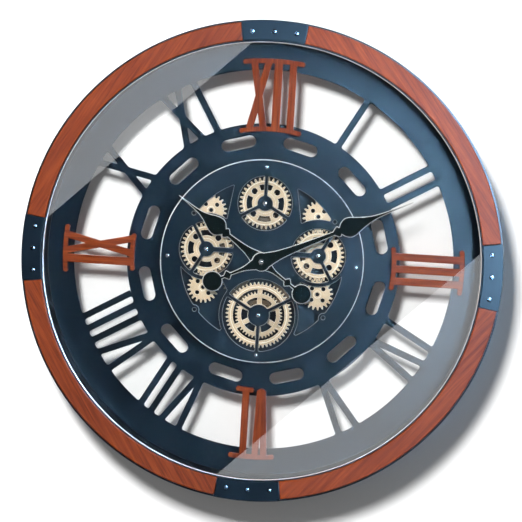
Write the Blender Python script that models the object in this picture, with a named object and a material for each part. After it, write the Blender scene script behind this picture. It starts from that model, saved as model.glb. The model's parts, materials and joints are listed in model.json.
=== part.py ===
"""A round wall clock with a skeleton dial, an open gear movement behind a cover plate, and wooden trim.

The clock faces -Y and its twelve points to +Z. The origin lies on the axis of the hands, halfway
through the depth of the rim. Depths are given from the foremost point of the rim towards the wall.
"""

import math

import bmesh
import bpy
from mathutils import Vector
from mathutils.geometry import delaunay_2d_cdt

MM = 0.001  # metres
GAP = 0.3 * MM  # clearance between pieces that touch

# Rim
RIM_RADIUS = 300 * MM
RIM_DEPTH = 70 * MM
HOOP_WALL = 2 * MM
HOOP_STEPS = 64
TRIM_CLEARANCE = 0.9 * MM
RING_INNER_RADIUS = 275.2 * MM
INNER_WALL_RADIUS = 272.5 * MM
STRAP_HALF_ANGLE = math.radians(8)
STRAP_SCREW_STEP = math.radians(5.5)
STRAP_SCREW_RADIUS = 286 * MM

# Depths from the foremost point of the rim: (front, back)
SCREW_HEAD_DEPTHS = (0 * MM, 1.2 * MM)
STRAP_DEPTHS = (1.2 * MM, 1.9 * MM)
WOOD_DEPTHS = (2.0 * MM, 7.2 * MM)
FLANGE_DEPTHS = (7.5 * MM, 9.0 * MM)
BEAD_DEPTHS = (2.6 * MM, 3.7 * MM)
GLASS_DEPTHS = (4.0 * MM, 7.2 * MM)
NUT_DEPTHS = (8.0 * MM, 11.2 * MM)
MINUTE_HAND_DEPTHS = (11.5 * MM, 12.7 * MM)
HOUR_HAND_DEPTHS = (14.5 * MM, 15.7 * MM)
COVER_DEPTHS = (18.5 * MM, 20.0 * MM)
WHEEL_DEPTHS = (21.0 * MM, 25.0 * MM)
PINION_DEPTHS = (26.5 * MM, 30.5 * MM)
TRAY_FLOOR_DEPTHS = (34.0 * MM, 35.5 * MM)
NUMERAL_DEPTHS = (36.0 * MM, 39.7 * MM)
DIAL_DEPTHS = (40.0 * MM, 41.5 * MM)
CASE_DEPTHS = (35.8 * MM, 53.3 * MM)
CASE_COVER_DEPTHS = (53.6 * MM, 55.1 * MM)

# Dial
WINDOW_OUTER_RADIUS = 239 * MM
WINDOW_INNER_RADIUS = 172 * MM
DIAL_HOLE_RADIUS = 112 * MM
SLOT_RADIUS = 149.5 * MM
SLOT_LENGTH = 44 * MM
SLOT_WIDTH = 15 * MM
NUMERAL_BAR = 8 * MM
APPLIED_INNER = 162 * MM
APPLIED_OUTER = 253 * MM
SERIF_HEIGHT = 6 * MM

# Gear module
COVER_RADIUS = 127.6 * MM
TRAY_RADIUS = 125 * MM
TRAY_WALL = 2.5 * MM
COVER_SCREW_RADIUS = 118 * MM
MODULE = 1.8 * MM
INNER_WHEEL_MODULE = 1.35 * MM
MOTION_MODULE = 0.5 * MM
CENTER_TEETH = 64
WHEEL_TEETH = 34
SMALL_TEETH = 20
BOTTOM_TEETH = 50
BOTTOM_MODULE = 1.6 * MM
INNER_TEETH = 42
TOP_PINION = 17
SIDE_PINION = 15
BOTTOM_PINION = 11
MOTOR_TEETH = 10
AXLE_RADIUS = 1.5 * MM
SIDE_WHEEL_ANGLE = math.radians(9.34)
UPPER_SMALL_ANGLE = math.radians(93.6)
LOWER_SMALL_ANGLE = math.radians(-88.1)
MOTOR_ANGLE = math.radians(60)
OPENING_RADIUS = 33.9 * MM
BOTTOM_OPENING_RADIUS = 45.4 * MM

# Motion work of the quartz movement
CANNON_TEETH = 10
MINUTE_WHEEL_TEETH = 30
MINUTE_PINION_TEETH = 8
HOUR_WHEEL_TEETH = 32
MOTION_DISTANCE = 10 * MM
CASE_SIDE = 56 * MM
CELL_RADIUS = 7.1 * MM
CELL_LENGTH = 49.5 * MM

# Time shown: ten past ten
MINUTE_ANGLE = math.radians(65)
HOUR_ANGLE = math.radians(305.4)

NAVY = ((0.012, 0.022, 0.040), 0.35, 0.8)
WOOD = ((0.33, 0.075, 0.018), 0.45, 0.0)
CREAM = ((0.62, 0.50, 0.34), 0.35, 0.6)
SILVER = ((0.75, 0.76, 0.78), 0.25, 1.0)
BLACK = ((0.01, 0.01, 0.012), 0.4, 0.0)
GLASS = ((0.85, 0.9, 0.92), 0.03, 0.0)
BRASS = ((0.55, 0.38, 0.12), 0.3, 1.0)
WHITE = ((0.8, 0.8, 0.78), 0.4, 0.0)
COPPER = ((0.6, 0.22, 0.08), 0.35, 1.0)
GREEN = ((0.02, 0.12, 0.05), 0.5, 0.0)


# ---------------------------------------------------------------- outlines in the (x, z) plane


def polar(radius, angle, center=(0.0, 0.0)):
    """The point at this radius and angle, counterclockwise from +X."""
    return (center[0] + radius * math.cos(angle), center[1] + radius * math.sin(angle))


def arc(radius, start, end, steps, center=(0.0, 0.0)):
    """The points of an arc, both ends included."""
    return [polar(radius, start + (end - start) * i / steps, center) for i in range(steps + 1)]


def circle(radius, steps=24, center=(0.0, 0.0)):
    """A closed circle."""
    return arc(radius, 0, 2 * math.pi, steps, center)[:-1]


def box(x0, x1, z0, z1):
    """A rectangle."""
    return [(x0, z0), (x1, z0), (x1, z1), (x0, z1)]


def ring_sector(inner, outer, start, end, steps, center=(0.0, 0.0)):
    """A stretch of a flat ring."""
    return arc(outer, start, end, steps, center) + arc(inner, end, start, steps, center)


def turned_by(points, angle, center=(0.0, 0.0)):
    """The points turned counterclockwise about the origin, then moved to center."""
    cos, sin = math.cos(angle), math.sin(angle)
    return [(center[0] + x * cos - z * sin, center[1] + x * sin + z * cos) for x, z in points]


def clock_placed(points, angle):
    """Points drawn with +z outward at twelve, turned clockwise by this angle."""
    return turned_by(points, -angle)


def bar(start, end, width):
    """A straight bar between two points."""
    (x0, z0), (x1, z1) = start, end
    length = math.hypot(x1 - x0, z1 - z0)
    side = ((z0 - z1) / length * width / 2, (x1 - x0) / length * width / 2)
    return [
        (x0 + side[0], z0 + side[1]),
        (x0 - side[0], z0 - side[1]),
        (x1 - side[0], z1 - side[1]),
        (x1 + side[0], z1 + side[1]),
    ]


def rounded_slot(length, width, steps=3):
    """A slot along x with half-round ends."""
    reach = (length - width) / 2
    right = arc(width / 2, -math.pi / 2, math.pi / 2, steps, (reach, 0.0))
    left = arc(width / 2, math.pi / 2, 3 * math.pi / 2, steps, (-reach, 0.0))
    return right + left


def mirrored(points):
    """The points with x changed in sign."""
    return [(-x, z) for x, z in points]


def gear_outline(teeth, module, phase, center=(0.0, 0.0)):
    """Straight-sided teeth, the first one centred on the phase angle."""
    pitch = 2 * math.pi / teeth
    tip = module * (teeth / 2 + 0.95)
    root = module * (teeth / 2 - 1.25)
    points = []
    for i in range(teeth):
        middle = phase + i * pitch
        points.append(polar(root, middle - 0.28 * pitch, center))
        points.append(polar(tip, middle - 0.105 * pitch, center))
        points.append(polar(tip, middle + 0.105 * pitch, center))
        points.append(polar(root, middle + 0.28 * pitch, center))
    return points


def meshed_phase(phase, teeth, direction, other_teeth):
    """The phase of a gear that meshes with one of this phase, lying in this direction from it."""
    half_tooth = math.pi / other_teeth
    return direction + math.pi + half_tooth + (direction - phase) * teeth / other_teeth


# ---------------------------------------------------------------- solids


def material(name, look):
    """A Principled material, made once for each name."""
    found = bpy.data.materials.get(name)
    if found:
        return found
    color, roughness, metallic = look
    made = bpy.data.materials.new(name)
    made.use_nodes = True
    shader = made.node_tree.nodes["Principled BSDF"]
    shader.inputs["Base Color"].default_value = (*color, 1.0)
    shader.inputs["Roughness"].default_value = roughness
    shader.inputs["Metallic"].default_value = metallic
    made.diffuse_color = (*color, 1.0)
    return made


def depth_y(depth):
    """The y of a depth behind the foremost point of the rim."""
    return depth - RIM_DEPTH / 2


def add_object(name, bm, look, pivot, origin_y=0.0):
    """An object with its origin at the pivot, on the axis that the piece turns about."""
    bmesh.ops.remove_doubles(bm, verts=bm.verts, dist=1e-7)
    bmesh.ops.recalc_face_normals(bm, faces=bm.faces)
    bmesh.ops.translate(bm, verts=bm.verts, vec=(-pivot[0], -origin_y, -pivot[1]))
    mesh = bpy.data.meshes.new(name)
    bm.to_mesh(mesh)
    bm.free()
    mesh.shade_smooth()
    mesh.set_sharp_from_angle(angle=math.radians(30))
    mesh.materials.append(material(f"{name}_finish", look))
    obj = bpy.data.objects.new(name, mesh)
    obj.location = (pivot[0], origin_y, pivot[1])
    bpy.context.scene.collection.objects.link(obj)
    return obj


def counterclockwise(loop):
    """The outline in counterclockwise order."""
    area = sum(a[0] * b[1] - b[0] * a[1] for a, b in zip(loop, loop[1:] + loop[:1]))
    return loop if area > 0 else loop[::-1]


def cells_of(layers):
    """One triangulation that holds the outlines of every layer, and the outlines over each triangle."""
    points, outlines, index = [], [], {}
    for _, _, steps in layers:
        for _, loop in steps:
            if id(loop) in index:
                continue
            index[id(loop)] = len(outlines)
            outlines.append(list(range(len(points), len(points) + len(loop))))
            points += [Vector((x / MM, z / MM)) for x, z in counterclockwise(loop)]
    verts, _, faces, _, _, sources = delaunay_2d_cdt(points, [], outlines, 0, 1e-5, True)
    return verts, faces, sources, index


def stack(name, layers, look, pivot=(0.0, 0.0), origin_depth=RIM_DEPTH / 2):
    """A solid of flat layers. Each is (front, back, steps), and a step adds or cuts an outline.

    The steps are pairs such as ("+", outline), in order. Layers follow one another in depth.
    """
    verts, faces, sources, index = cells_of(layers)
    filled = []
    for _, _, steps in layers:
        chosen = set()
        for number, source in enumerate(sources):
            inside = False
            for sign, loop in steps:
                if index[id(loop)] in source:
                    inside = sign == "+"
            if inside:
                chosen.add(number)
        filled.append(chosen)
    bm = bmesh.new()
    made = {}

    def vertex(number, level):
        if (number, level) not in made:
            depth = layers[level][0] if level < len(layers) else layers[-1][1]
            x, z = verts[number]
            made[number, level] = bm.verts.new((x * MM, depth_y(depth), z * MM))
        return made[number, level]

    for level in range(len(layers) + 1):
        behind = filled[level] if level < len(layers) else set()
        before = filled[level - 1] if level else set()
        for number in sorted(behind ^ before):
            bm.faces.new([vertex(v, level) for v in faces[number]])
    for level, chosen in enumerate(filled):
        edges = {}
        for number in sorted(chosen):
            loop = faces[number]
            for a, b in zip(loop, loop[1:] + loop[:1]):
                edges.setdefault(tuple(sorted((a, b))), []).append((a, b))
        for uses in edges.values():
            if len(uses) == 1:
                a, b = uses[0]
                corners = [(a, level), (b, level), (b, level + 1), (a, level + 1)]
                bm.faces.new([vertex(*corner) for corner in corners])
    return add_object(name, bm, look, pivot, depth_y(origin_depth))


def turned(name, profile, look, pivot=(0.0, 0.0), steps=24, origin_depth=RIM_DEPTH / 2):
    """A profile of (radius, depth) points spun about the line through the pivot along Y."""
    bm = bmesh.new()
    middle = depth_y(origin_depth)
    line = [bm.verts.new((radius, depth_y(depth), 0.0)) for radius, depth in profile]
    edges = [bm.edges.new(pair) for pair in zip(line, line[1:])]
    if profile[0][0] > 0:
        edges.append(bm.edges.new((line[-1], line[0])))
    bmesh.ops.spin(
        bm,
        geom=line + edges,
        cent=(0, 0, 0),
        axis=(0, 1, 0),
        angle=2 * math.pi,
        steps=steps,
        use_merge=True,
    )
    bmesh.ops.translate(bm, verts=bm.verts, vec=(pivot[0], 0.0, pivot[1]))
    bmesh.ops.remove_doubles(bm, verts=bm.verts, dist=1e-6)
    return add_object(name, bm, look, pivot, middle)


# ---------------------------------------------------------------- rim and glass


def quarter_names():
    """The four clock positions with their angles, counterclockwise from +X."""
    return (("top", 90), ("right", 0), ("bottom", 270), ("left", 180))


def make_hoop():
    """The metal drum: an outer wall, a flange under the trim and an inner wall round the dial."""
    inner = RIM_RADIUS - HOOP_WALL
    flange_front, flange_back = FLANGE_DEPTHS
    wall = INNER_WALL_RADIUS + 1.5 * MM
    rear = 52 * MM
    profile = [
        (RIM_RADIUS, 2.2 * MM),
        (RIM_RADIUS, RIM_DEPTH),
        (inner, RIM_DEPTH),
        (inner, flange_back),
        (wall, flange_back),
        (wall, rear),
        (INNER_WALL_RADIUS, rear),
        (INNER_WALL_RADIUS, flange_front),
        (inner, flange_front),
        (inner, 2.2 * MM),
    ]
    turned("rim_hoop", profile, NAVY, steps=HOOP_STEPS)


def make_ring_trim():
    """Four wooden arcs, and between them four metal straps with three screw heads each."""
    wood_outer = RIM_RADIUS - HOOP_WALL - TRIM_CLEARANCE
    edge = GAP / RING_INNER_RADIUS
    for name, degrees in quarter_names():
        middle = math.radians(degrees)
        start, end = middle - STRAP_HALF_ANGLE, middle + STRAP_HALF_ANGLE
        wide = ring_sector(RING_INNER_RADIUS, RIM_RADIUS, start, end, 4)
        narrow = ring_sector(RING_INNER_RADIUS, wood_outer, start, end, 4)
        heads = []
        for i in (-1, 0, 1):
            center = polar(STRAP_SCREW_RADIUS, middle + i * STRAP_SCREW_STEP)
            heads.append(("+", circle(3.0 * MM, 8, center)))
        layers = [
            (*SCREW_HEAD_DEPTHS, heads),
            (*STRAP_DEPTHS, [("+", wide)]),
            (STRAP_DEPTHS[1], WOOD_DEPTHS[1], [("+", narrow)]),
        ]
        stack(f"rim_strap_{name}", layers, NAVY)
        start = middle + STRAP_HALF_ANGLE + edge
        end = middle + math.pi / 2 - STRAP_HALF_ANGLE - edge
        outline = ring_sector(RING_INNER_RADIUS, wood_outer, start, end, 15)
        corner = {"top": "upper_left", "right": "upper_right", "bottom": "lower_right"}
        place = corner.get(name, "lower_left")
        stack(f"rim_wood_{place}", [(*WOOD_DEPTHS, [("+", outline)])], WOOD)


def make_glass():
    """The flat glass and the thin bead in front of its edge."""
    edge = RING_INNER_RADIUS - 2 * GAP
    stack("glass_lens", [(*GLASS_DEPTHS, [("+", circle(edge, 72))])], GLASS)
    inner = INNER_WALL_RADIUS - 0.5 * MM
    front, back = BEAD_DEPTHS
    profile = [(edge, front), (edge, back), (inner, back), (inner, front)]
    turned("glass_bead", profile, SILVER, steps=48)


def make_hanger():
    """A plate across the back of the rim at twelve, with a slot for the wall hook."""
    top = RIM_RADIUS - HOOP_WALL - 3 * MM
    bottom = INNER_WALL_RADIUS - 2 * MM
    plate = box(-35 * MM, 35 * MM, bottom, top)
    slot = box(-9 * MM, 9 * MM, bottom + 9 * MM, bottom + 15 * MM)
    holes = [("-", circle(2 * MM, 10, (x, bottom + 12 * MM))) for x in (-26 * MM, 26 * MM)]
    layers = [(52.3 * MM, 54.3 * MM, [("+", plate), ("-", slot)] + holes)]
    stack("hanger_plate", layers, SILVER)


# ---------------------------------------------------------------- dial and numerals


def letter_strokes(text, gap):
    """The strokes of a Roman numeral as (foot, head) pairs across the width, centred on zero."""
    widths = {"I": 0.0, "V": 26 * MM, "X": 24 * MM}
    total = sum(widths[letter] for letter in text) + gap * (len(text) - 1)
    left, strokes = -total / 2, []
    for letter in text:
        right = left + widths[letter]
        middle = (left + right) / 2
        if letter == "I":
            strokes.append((middle, middle))
        if letter == "V":
            strokes += [(middle - 2 * MM, left), (middle + 2 * MM, right)]
        if letter == "X":
            strokes += [(left, right), (right, left)]
        left = right + gap
    return strokes


def dial_numerals():
    """The eight numerals that stand as spokes between the inner and the outer band of the dial."""
    spokes = {1: "I", 2: "II", 4: "IV", 5: "V", 7: "VII", 8: "VIII", 10: "X", 11: "XI"}
    bars = []
    for hour, text in spokes.items():
        gap = 20 * MM if len(text) == 2 else 16 * MM
        for foot, head in letter_strokes(text, gap):
            low = (foot, WINDOW_INNER_RADIUS - 4 * MM)
            high = (head, WINDOW_OUTER_RADIUS + 4 * MM)
            outline = bar(low, high, NUMERAL_BAR)
            bars.append(("+", clock_placed(outline, math.radians(30 * hour))))
    return bars


def make_dial():
    """The dark sheet with its ring of windows, its numeral spokes and its twelve slots."""
    steps = [
        ("+", circle(INNER_WALL_RADIUS - GAP, HOOP_STEPS)),
        ("-", circle(WINDOW_OUTER_RADIUS, 60)),
        ("+", circle(WINDOW_INNER_RADIUS, 48)),
        ("-", circle(DIAL_HOLE_RADIUS, 36)),
    ]
    steps += dial_numerals()
    for i in range(12):
        slot = [(x, z + SLOT_RADIUS) for x, z in rounded_slot(SLOT_LENGTH, SLOT_WIDTH)]
        steps.append(("-", clock_placed(slot, math.radians(15 + 30 * i))))
    stack("dial_plate", [(*DIAL_DEPTHS, steps)], NAVY)


def serif(start, end, inner):
    """A slab across the end of a letter, curved with the dial, between two places across it."""
    outer = inner + SERIF_HEIGHT
    middle = (inner + outer) / 2
    low, high = math.pi / 2 - end / middle, math.pi / 2 - start / middle
    tip = 1.6 * MM / middle
    front = arc(outer, low + tip, high - tip, 6)
    back = arc(inner, high - tip, low + tip, 6)
    return front + [polar(middle, high)] + back + [polar(middle, low)]


def letter(strokes, inner_serif, outer_serif):
    """A numeral from strokes of (foot, head, width) across it and two serifs, all in millimetres."""
    foot = APPLIED_INNER + SERIF_HEIGHT / 2
    head = APPLIED_OUTER - SERIF_HEIGHT / 2
    steps = []
    for low, high, width in strokes:
        steps.append(("+", bar((low * MM, foot), (high * MM, head), width * MM)))
    steps.append(("+", serif(inner_serif[0] * MM, inner_serif[1] * MM, APPLIED_INNER)))
    outer_start = APPLIED_OUTER - SERIF_HEIGHT
    steps.append(("+", serif(outer_serif[0] * MM, outer_serif[1] * MM, outer_start)))
    return steps


def make_applied_numerals():
    """Twelve, three, six and nine in wood, laid on the dial."""
    twelve = [(-9, -25, 8.8), (-26.5, -6, 8.8), (6, 6, 10.5), (24.4, 24.4, 9)]
    three = [(-15.4, -15.4, 9.3), (0, 0, 9.3), (15.4, 15.4, 9.3)]
    six = [(-7, -4.5, 8.5), (-10, -15.5, 8.5), (11, 11, 9)]
    nine = [(-12.2, -12.2, 10.4), (-2, 18, 8.7), (17, -2.5, 8.7)]
    apex = circle(5.6 * MM, 12, (-8.5 * MM, APPLIED_INNER + 5.8 * MM))
    shapes = {
        "twelve": (0, letter(twelve, (-39.5, 39.5), (-39.5, 39.5))),
        "three": (90, letter(three, (-27.5, 27.5), (-28.7, 28.7))),
        "six": (180, letter(six, (0.6, 24.4), (-29.5, 29.5)) + [("+", apex)]),
        "nine": (270, letter(nine, (-24, 24), (-30.5, 30.5))),
    }
    for name, (degrees, steps) in shapes.items():
        placed = [(sign, clock_placed(loop, math.radians(degrees))) for sign, loop in steps]
        stack(f"numeral_{name}", [(*NUMERAL_DEPTHS, placed)], WOOD)


# ---------------------------------------------------------------- gear places


def gear_places():
    """The centres of the gears on the axes of the tray, by name."""
    center_pitch = CENTER_TEETH * MODULE / 2
    top = (0.0, center_pitch + TOP_PINION * MODULE / 2)
    side = center_pitch + SIDE_PINION * MODULE / 2
    right = polar(side, SIDE_WHEEL_ANGLE)
    bottom = (0.0, -center_pitch - BOTTOM_PINION * MODULE / 2)
    reach = (WHEEL_TEETH + SMALL_TEETH) * MODULE / 2
    upper = polar(reach, UPPER_SMALL_ANGLE, right)
    lower = polar(reach, LOWER_SMALL_ANGLE, right)
    motor = polar(center_pitch + MOTOR_TEETH * MODULE / 2, MOTOR_ANGLE)
    return {
        "top": top,
        "right": right,
        "left": (-right[0], right[1]),
        "bottom": bottom,
        "upper_right": upper,
        "upper_left": (-upper[0], upper[1]),
        "lower_right": lower,
        "lower_left": (-lower[0], lower[1]),
        "motor": motor,
    }


# ---------------------------------------------------------------- cover plate and tray


def spider(center, opening, hub, arms):
    """A hub disc held by arms across a round opening. Arms are (degrees, width) pairs."""
    steps = [("-", circle(opening, 30, center))]
    for degrees, width in arms:
        end = polar(opening + 1.5 * MM, math.radians(degrees), center)
        steps.append(("+", bar(center, end, width)))
    steps.append(("+", circle(hub, 14, center)))
    steps.append(("-", circle(AXLE_RADIUS + GAP, 8, center)))
    return steps


def upper_window(right):
    """The curved window beside the upper small gear, on the right."""
    outer = arc(101.5 * MM, math.radians(32), math.radians(67), 7)
    inner = arc(45.5 * MM, math.radians(121), math.radians(72), 5, right)
    return outer + inner


def lower_window(right, bottom):
    """The curved window beside the lower small gear, on the right."""
    outer = arc(101.5 * MM, math.radians(-62), math.radians(-8), 9)
    upper = arc(39 * MM, math.radians(-38), math.radians(-120), 6, right)
    inner = arc(50 * MM, math.radians(35), math.radians(-24), 5, bottom)
    return outer + upper + inner


def make_cover():
    """The round plate in front of the gears, with a bridge in front of each of the four axles."""
    places = gear_places()
    right = upper_window(places["right"])
    lower = lower_window(places["right"], places["bottom"])
    steps = [("+", circle(COVER_RADIUS, 72))]
    steps += [("-", right), ("-", mirrored(right)), ("-", lower), ("-", mirrored(lower))]
    narrow, broad = 4.5 * MM, 6.5 * MM
    opening = OPENING_RADIUS
    hub = 9.7 * MM
    steps += spider(places["top"], opening, hub, [(90, narrow), (210, narrow), (330, narrow)])
    steps += spider(places["left"], opening, hub, [(120, narrow), (0, broad), (240, narrow)])
    steps += spider(places["right"], opening, hub, [(60, narrow), (180, broad), (300, narrow)])
    arms = [(150, narrow), (30, narrow), (270, narrow)]
    steps += spider(places["bottom"], BOTTOM_OPENING_RADIUS, 13.6 * MM, arms)
    for degrees in (32, 148, 219, 321):
        tab = polar(104 * MM, math.radians(degrees))
        steps.append(("+", circle(6 * MM, 12, tab)))
        steps.append(("-", circle(2.4 * MM, 8, tab)))
    for _, degrees in quarter_names():
        hole = polar(COVER_SCREW_RADIUS, math.radians(degrees))
        steps.append(("-", circle(AXLE_RADIUS + GAP, 8, hole)))
    steps.append(("-", circle(4.2 * MM, 16)))
    stack("gear_cover_plate", [(*COVER_DEPTHS, steps)], NAVY)


def make_tray():
    """The drum behind the cover: floor, wall, screw pillars, axle bosses and posts for small gears."""
    places = gear_places()
    floor_front, floor_back = TRAY_FLOOR_DEPTHS
    outer = circle(TRAY_RADIUS, 40)
    inner = circle(TRAY_RADIUS - TRAY_WALL, 40)
    bush_hole = circle(4.6 * MM, 16)
    motor_hole = circle(2.6 * MM, 8, places["motor"])
    pillars, pillar_bores = [], []
    for _, degrees in quarter_names():
        center = polar(COVER_SCREW_RADIUS, math.radians(degrees))
        pillars.append(("+", circle(5.5 * MM, 8, center)))
        pillar_bores.append(("-", circle(AXLE_RADIUS + GAP, 8, center)))
    axles = [places[name] for name in ("top", "left", "right", "bottom")]
    bosses = [("+", circle(4.5 * MM, 8, center)) for center in axles]
    boss_bores = [("-", circle(AXLE_RADIUS + GAP, 8, center)) for center in axles]
    corners = ("upper_left", "upper_right", "lower_left", "lower_right")
    posts = [("+", circle(4.5 * MM, 8, places[name])) for name in corners]
    pins = [("+", circle(2.4 * MM, 8, places[name])) for name in corners]
    wall = [("+", outer), ("-", inner)]
    boss_front = PINION_DEPTHS[1] + 0.5 * MM
    post_front = WHEEL_DEPTHS[1] + 0.5 * MM
    layers = [
        (COVER_DEPTHS[1] + GAP, WHEEL_DEPTHS[0], wall + pillars + pillar_bores),
        (WHEEL_DEPTHS[0], post_front, wall + pillars + pillar_bores + pins),
        (post_front, boss_front, wall + pillars + pillar_bores + posts),
        (boss_front, floor_front, wall + pillars + pillar_bores + posts + bosses + boss_bores),
        (floor_front, floor_back, [("+", outer), ("-", bush_hole), ("-", motor_hole)] + boss_bores),
        (floor_back, DIAL_DEPTHS[0] - GAP, wall),
    ]
    stack("gear_tray", layers, NAVY)


def screw(name, center, head_radius, head_depths, shank_radius, end_depth):
    """A domed head on a plain shank."""
    front, back = head_depths
    profile = [
        (0.0, front),
        (0.6 * head_radius, front + 0.25 * MM),
        (head_radius, front + 0.9 * MM),
        (head_radius, back),
        (shank_radius, back),
        (shank_radius, end_depth),
        (0.0, end_depth),
    ]
    turned(name, profile, SILVER, center, steps=8, origin_depth=back)


def make_screws():
    """Four screws hold the cover on the tray, and four more are the axles of the large gears."""
    places = gear_places()
    head = (COVER_DEPTHS[0] - GAP - 1.7 * MM, COVER_DEPTHS[0] - GAP)
    for name, degrees in quarter_names():
        center = polar(COVER_SCREW_RADIUS, math.radians(degrees))
        screw(f"cover_screw_{name}", center, 2.5 * MM, head, 1.4 * MM, 30 * MM)
        end = TRAY_FLOOR_DEPTHS[1] - 0.3 * MM
        screw(f"axle_screw_{name}", places[name], 2.8 * MM, head, AXLE_RADIUS, end)


# ---------------------------------------------------------------- display gears


def light_holes(center, phase):
    """Four round holes and four curved slots through the web of a large wheel."""
    steps = []
    for i in range(4):
        hole = polar(20 * MM, phase + math.radians(45 + 90 * i), center)
        steps.append(("-", circle(3.9 * MM, 6, hole)))
        start = phase + math.radians(90 * i - 22)
        end = phase + math.radians(90 * i + 22)
        steps.append(("-", ring_sector(16.5 * MM, 23.6 * MM, start, end, 3, center)))
    return steps


def make_wheel_with_pinion(name, center, wheel_phase, pinion_teeth, pinion_phase):
    """A large display wheel in front and its pinion behind, on one hub."""
    bore = ("-", circle(AXLE_RADIUS + GAP, 8, center))
    wheel = ("+", gear_outline(WHEEL_TEETH, MODULE, wheel_phase, center))
    hub = ("+", circle(6.5 * MM, 12, center))
    pinion = ("+", gear_outline(pinion_teeth, MODULE, pinion_phase, center))
    layers = [
        (*WHEEL_DEPTHS, [wheel] + light_holes(center, 0.0) + [bore]),
        (WHEEL_DEPTHS[1], PINION_DEPTHS[0], [hub, bore]),
        (*PINION_DEPTHS, [pinion, bore]),
    ]
    stack(name, layers, CREAM, center, WHEEL_DEPTHS[0])


def make_bottom_gears(center, pinion_phase):
    """The bottom pair: a toothed ring on three spokes, and a smaller wheel in front of the spokes."""
    front, back = WHEEL_DEPTHS
    spoke_front = back - 1.6 * MM
    ring = [
        ("+", gear_outline(BOTTOM_TEETH, BOTTOM_MODULE, 0.0, center)),
        ("-", circle(32.5 * MM, 36, center)),
    ]
    spokes = []
    for degrees in (90, 210, 330):
        end = polar(34 * MM, math.radians(degrees), center)
        spokes.append(("+", bar(center, end, 6 * MM)))
    hub = ("+", circle(6.5 * MM, 12, center))
    bore = ("-", circle(AXLE_RADIUS + GAP, 8, center))
    pinion = ("+", gear_outline(BOTTOM_PINION, MODULE, pinion_phase, center))
    layers = [
        (front, spoke_front, ring),
        (spoke_front, back, ring + spokes + [hub, bore]),
        (back, PINION_DEPTHS[0], [hub, bore]),
        (*PINION_DEPTHS, [pinion, bore]),
    ]
    stack("gear_bottom", layers, CREAM, center, front)
    inner = [("+", gear_outline(INNER_TEETH, INNER_WHEEL_MODULE, 0.0, center))]
    for i in range(3):
        start, end = math.radians(42 + 120 * i), math.radians(138 + 120 * i)
        inner.append(("-", ring_sector(14 * MM, 22 * MM, start, end, 6, center)))
    layers = [(front, spoke_front - GAP, inner + [bore])]
    stack("gear_bottom_inner", layers, CREAM, center, front)


def make_small_gear(name, center, phase):
    """A small gear with four holes, on a post of the tray."""
    steps = [("+", gear_outline(SMALL_TEETH, MODULE, phase, center))]
    for i in range(4):
        hole = polar(10 * MM, math.radians(45 + 90 * i), center)
        steps.append(("-", circle(2.8 * MM, 6, hole)))
    steps.append(("-", circle(2.4 * MM + GAP, 8, center)))
    stack(name, [(*WHEEL_DEPTHS, steps)], CREAM, center, WHEEL_DEPTHS[0])


def make_center_gear():
    """The hidden wheel round the hour tube that drives the four display wheels."""
    steps = [
        ("+", gear_outline(CENTER_TEETH, MODULE, 0.0)),
        ("-", circle(50 * MM, 30)),
        ("+", circle(9 * MM, 16)),
    ]
    for i in range(5):
        end = polar(51 * MM, math.radians(18 + 72 * i))
        steps.append(("+", bar((0.0, 0.0), end, 7 * MM)))
    steps.append(("-", circle(4.3 * MM, 16)))
    stack("gear_center", [(*PINION_DEPTHS, steps)], CREAM)


def make_motor_pinion(center, phase):
    """The driving pinion and its shaft."""
    pinion = ("+", gear_outline(MOTOR_TEETH, MODULE, phase, center))
    shaft = ("+", circle(2.2 * MM, 8, center))
    layers = [(*PINION_DEPTHS, [pinion]), (PINION_DEPTHS[1], 35.6 * MM, [shaft])]
    stack("motor_pinion", layers, BRASS, center, PINION_DEPTHS[0])


def make_gears():
    """Every display gear, each turned to mesh with the one that drives it."""
    places = gear_places()
    make_center_gear()
    directions = {"top": math.pi / 2, "right": SIDE_WHEEL_ANGLE, "left": math.pi - SIDE_WHEEL_ANGLE}
    pinions = {"top": TOP_PINION, "right": SIDE_PINION, "left": SIDE_PINION}
    for name, direction in directions.items():
        phase = meshed_phase(0.0, CENTER_TEETH, direction, pinions[name])
        make_wheel_with_pinion(f"gear_{name}", places[name], 0.0, pinions[name], phase)
    phase = meshed_phase(0.0, CENTER_TEETH, -math.pi / 2, BOTTOM_PINION)
    make_bottom_gears(places["bottom"], phase)
    for side in ("right", "left"):
        for row, angle in (("upper", UPPER_SMALL_ANGLE), ("lower", LOWER_SMALL_ANGLE)):
            direction = angle if side == "right" else math.pi - angle
            phase = meshed_phase(0.0, WHEEL_TEETH, direction, SMALL_TEETH)
            make_small_gear(f"gear_{row}_{side}", places[f"{row}_{side}"], phase)
    phase = meshed_phase(0.0, CENTER_TEETH, MOTOR_ANGLE, MOTOR_TEETH)
    make_motor_pinion(places["motor"], phase)


# ---------------------------------------------------------------- gear motor and its battery box


def make_motor():
    """The can of the geared motor on the back of the tray."""
    center = gear_places()["motor"]
    front = TRAY_FLOOR_DEPTHS[1] + 2 * GAP
    profile = [
        (0.0, front),
        (12 * MM, front),
        (12 * MM, 50 * MM),
        (10 * MM, 50 * MM),
        (10 * MM, 60 * MM),
        (0.0, 60 * MM),
    ]
    turned("gear_motor", profile, SILVER, center, steps=20, origin_depth=front)


BATTERY_BOX_CENTER = (0.0, -70 * MM)
BATTERY_BOX_SIZE = (64 * MM, 36 * MM)
BATTERY_BOX_DEPTHS = (TRAY_FLOOR_DEPTHS[1] + GAP, 54.5 * MM)
SWITCH_DEPTHS = (42 * MM, 46 * MM)


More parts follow.
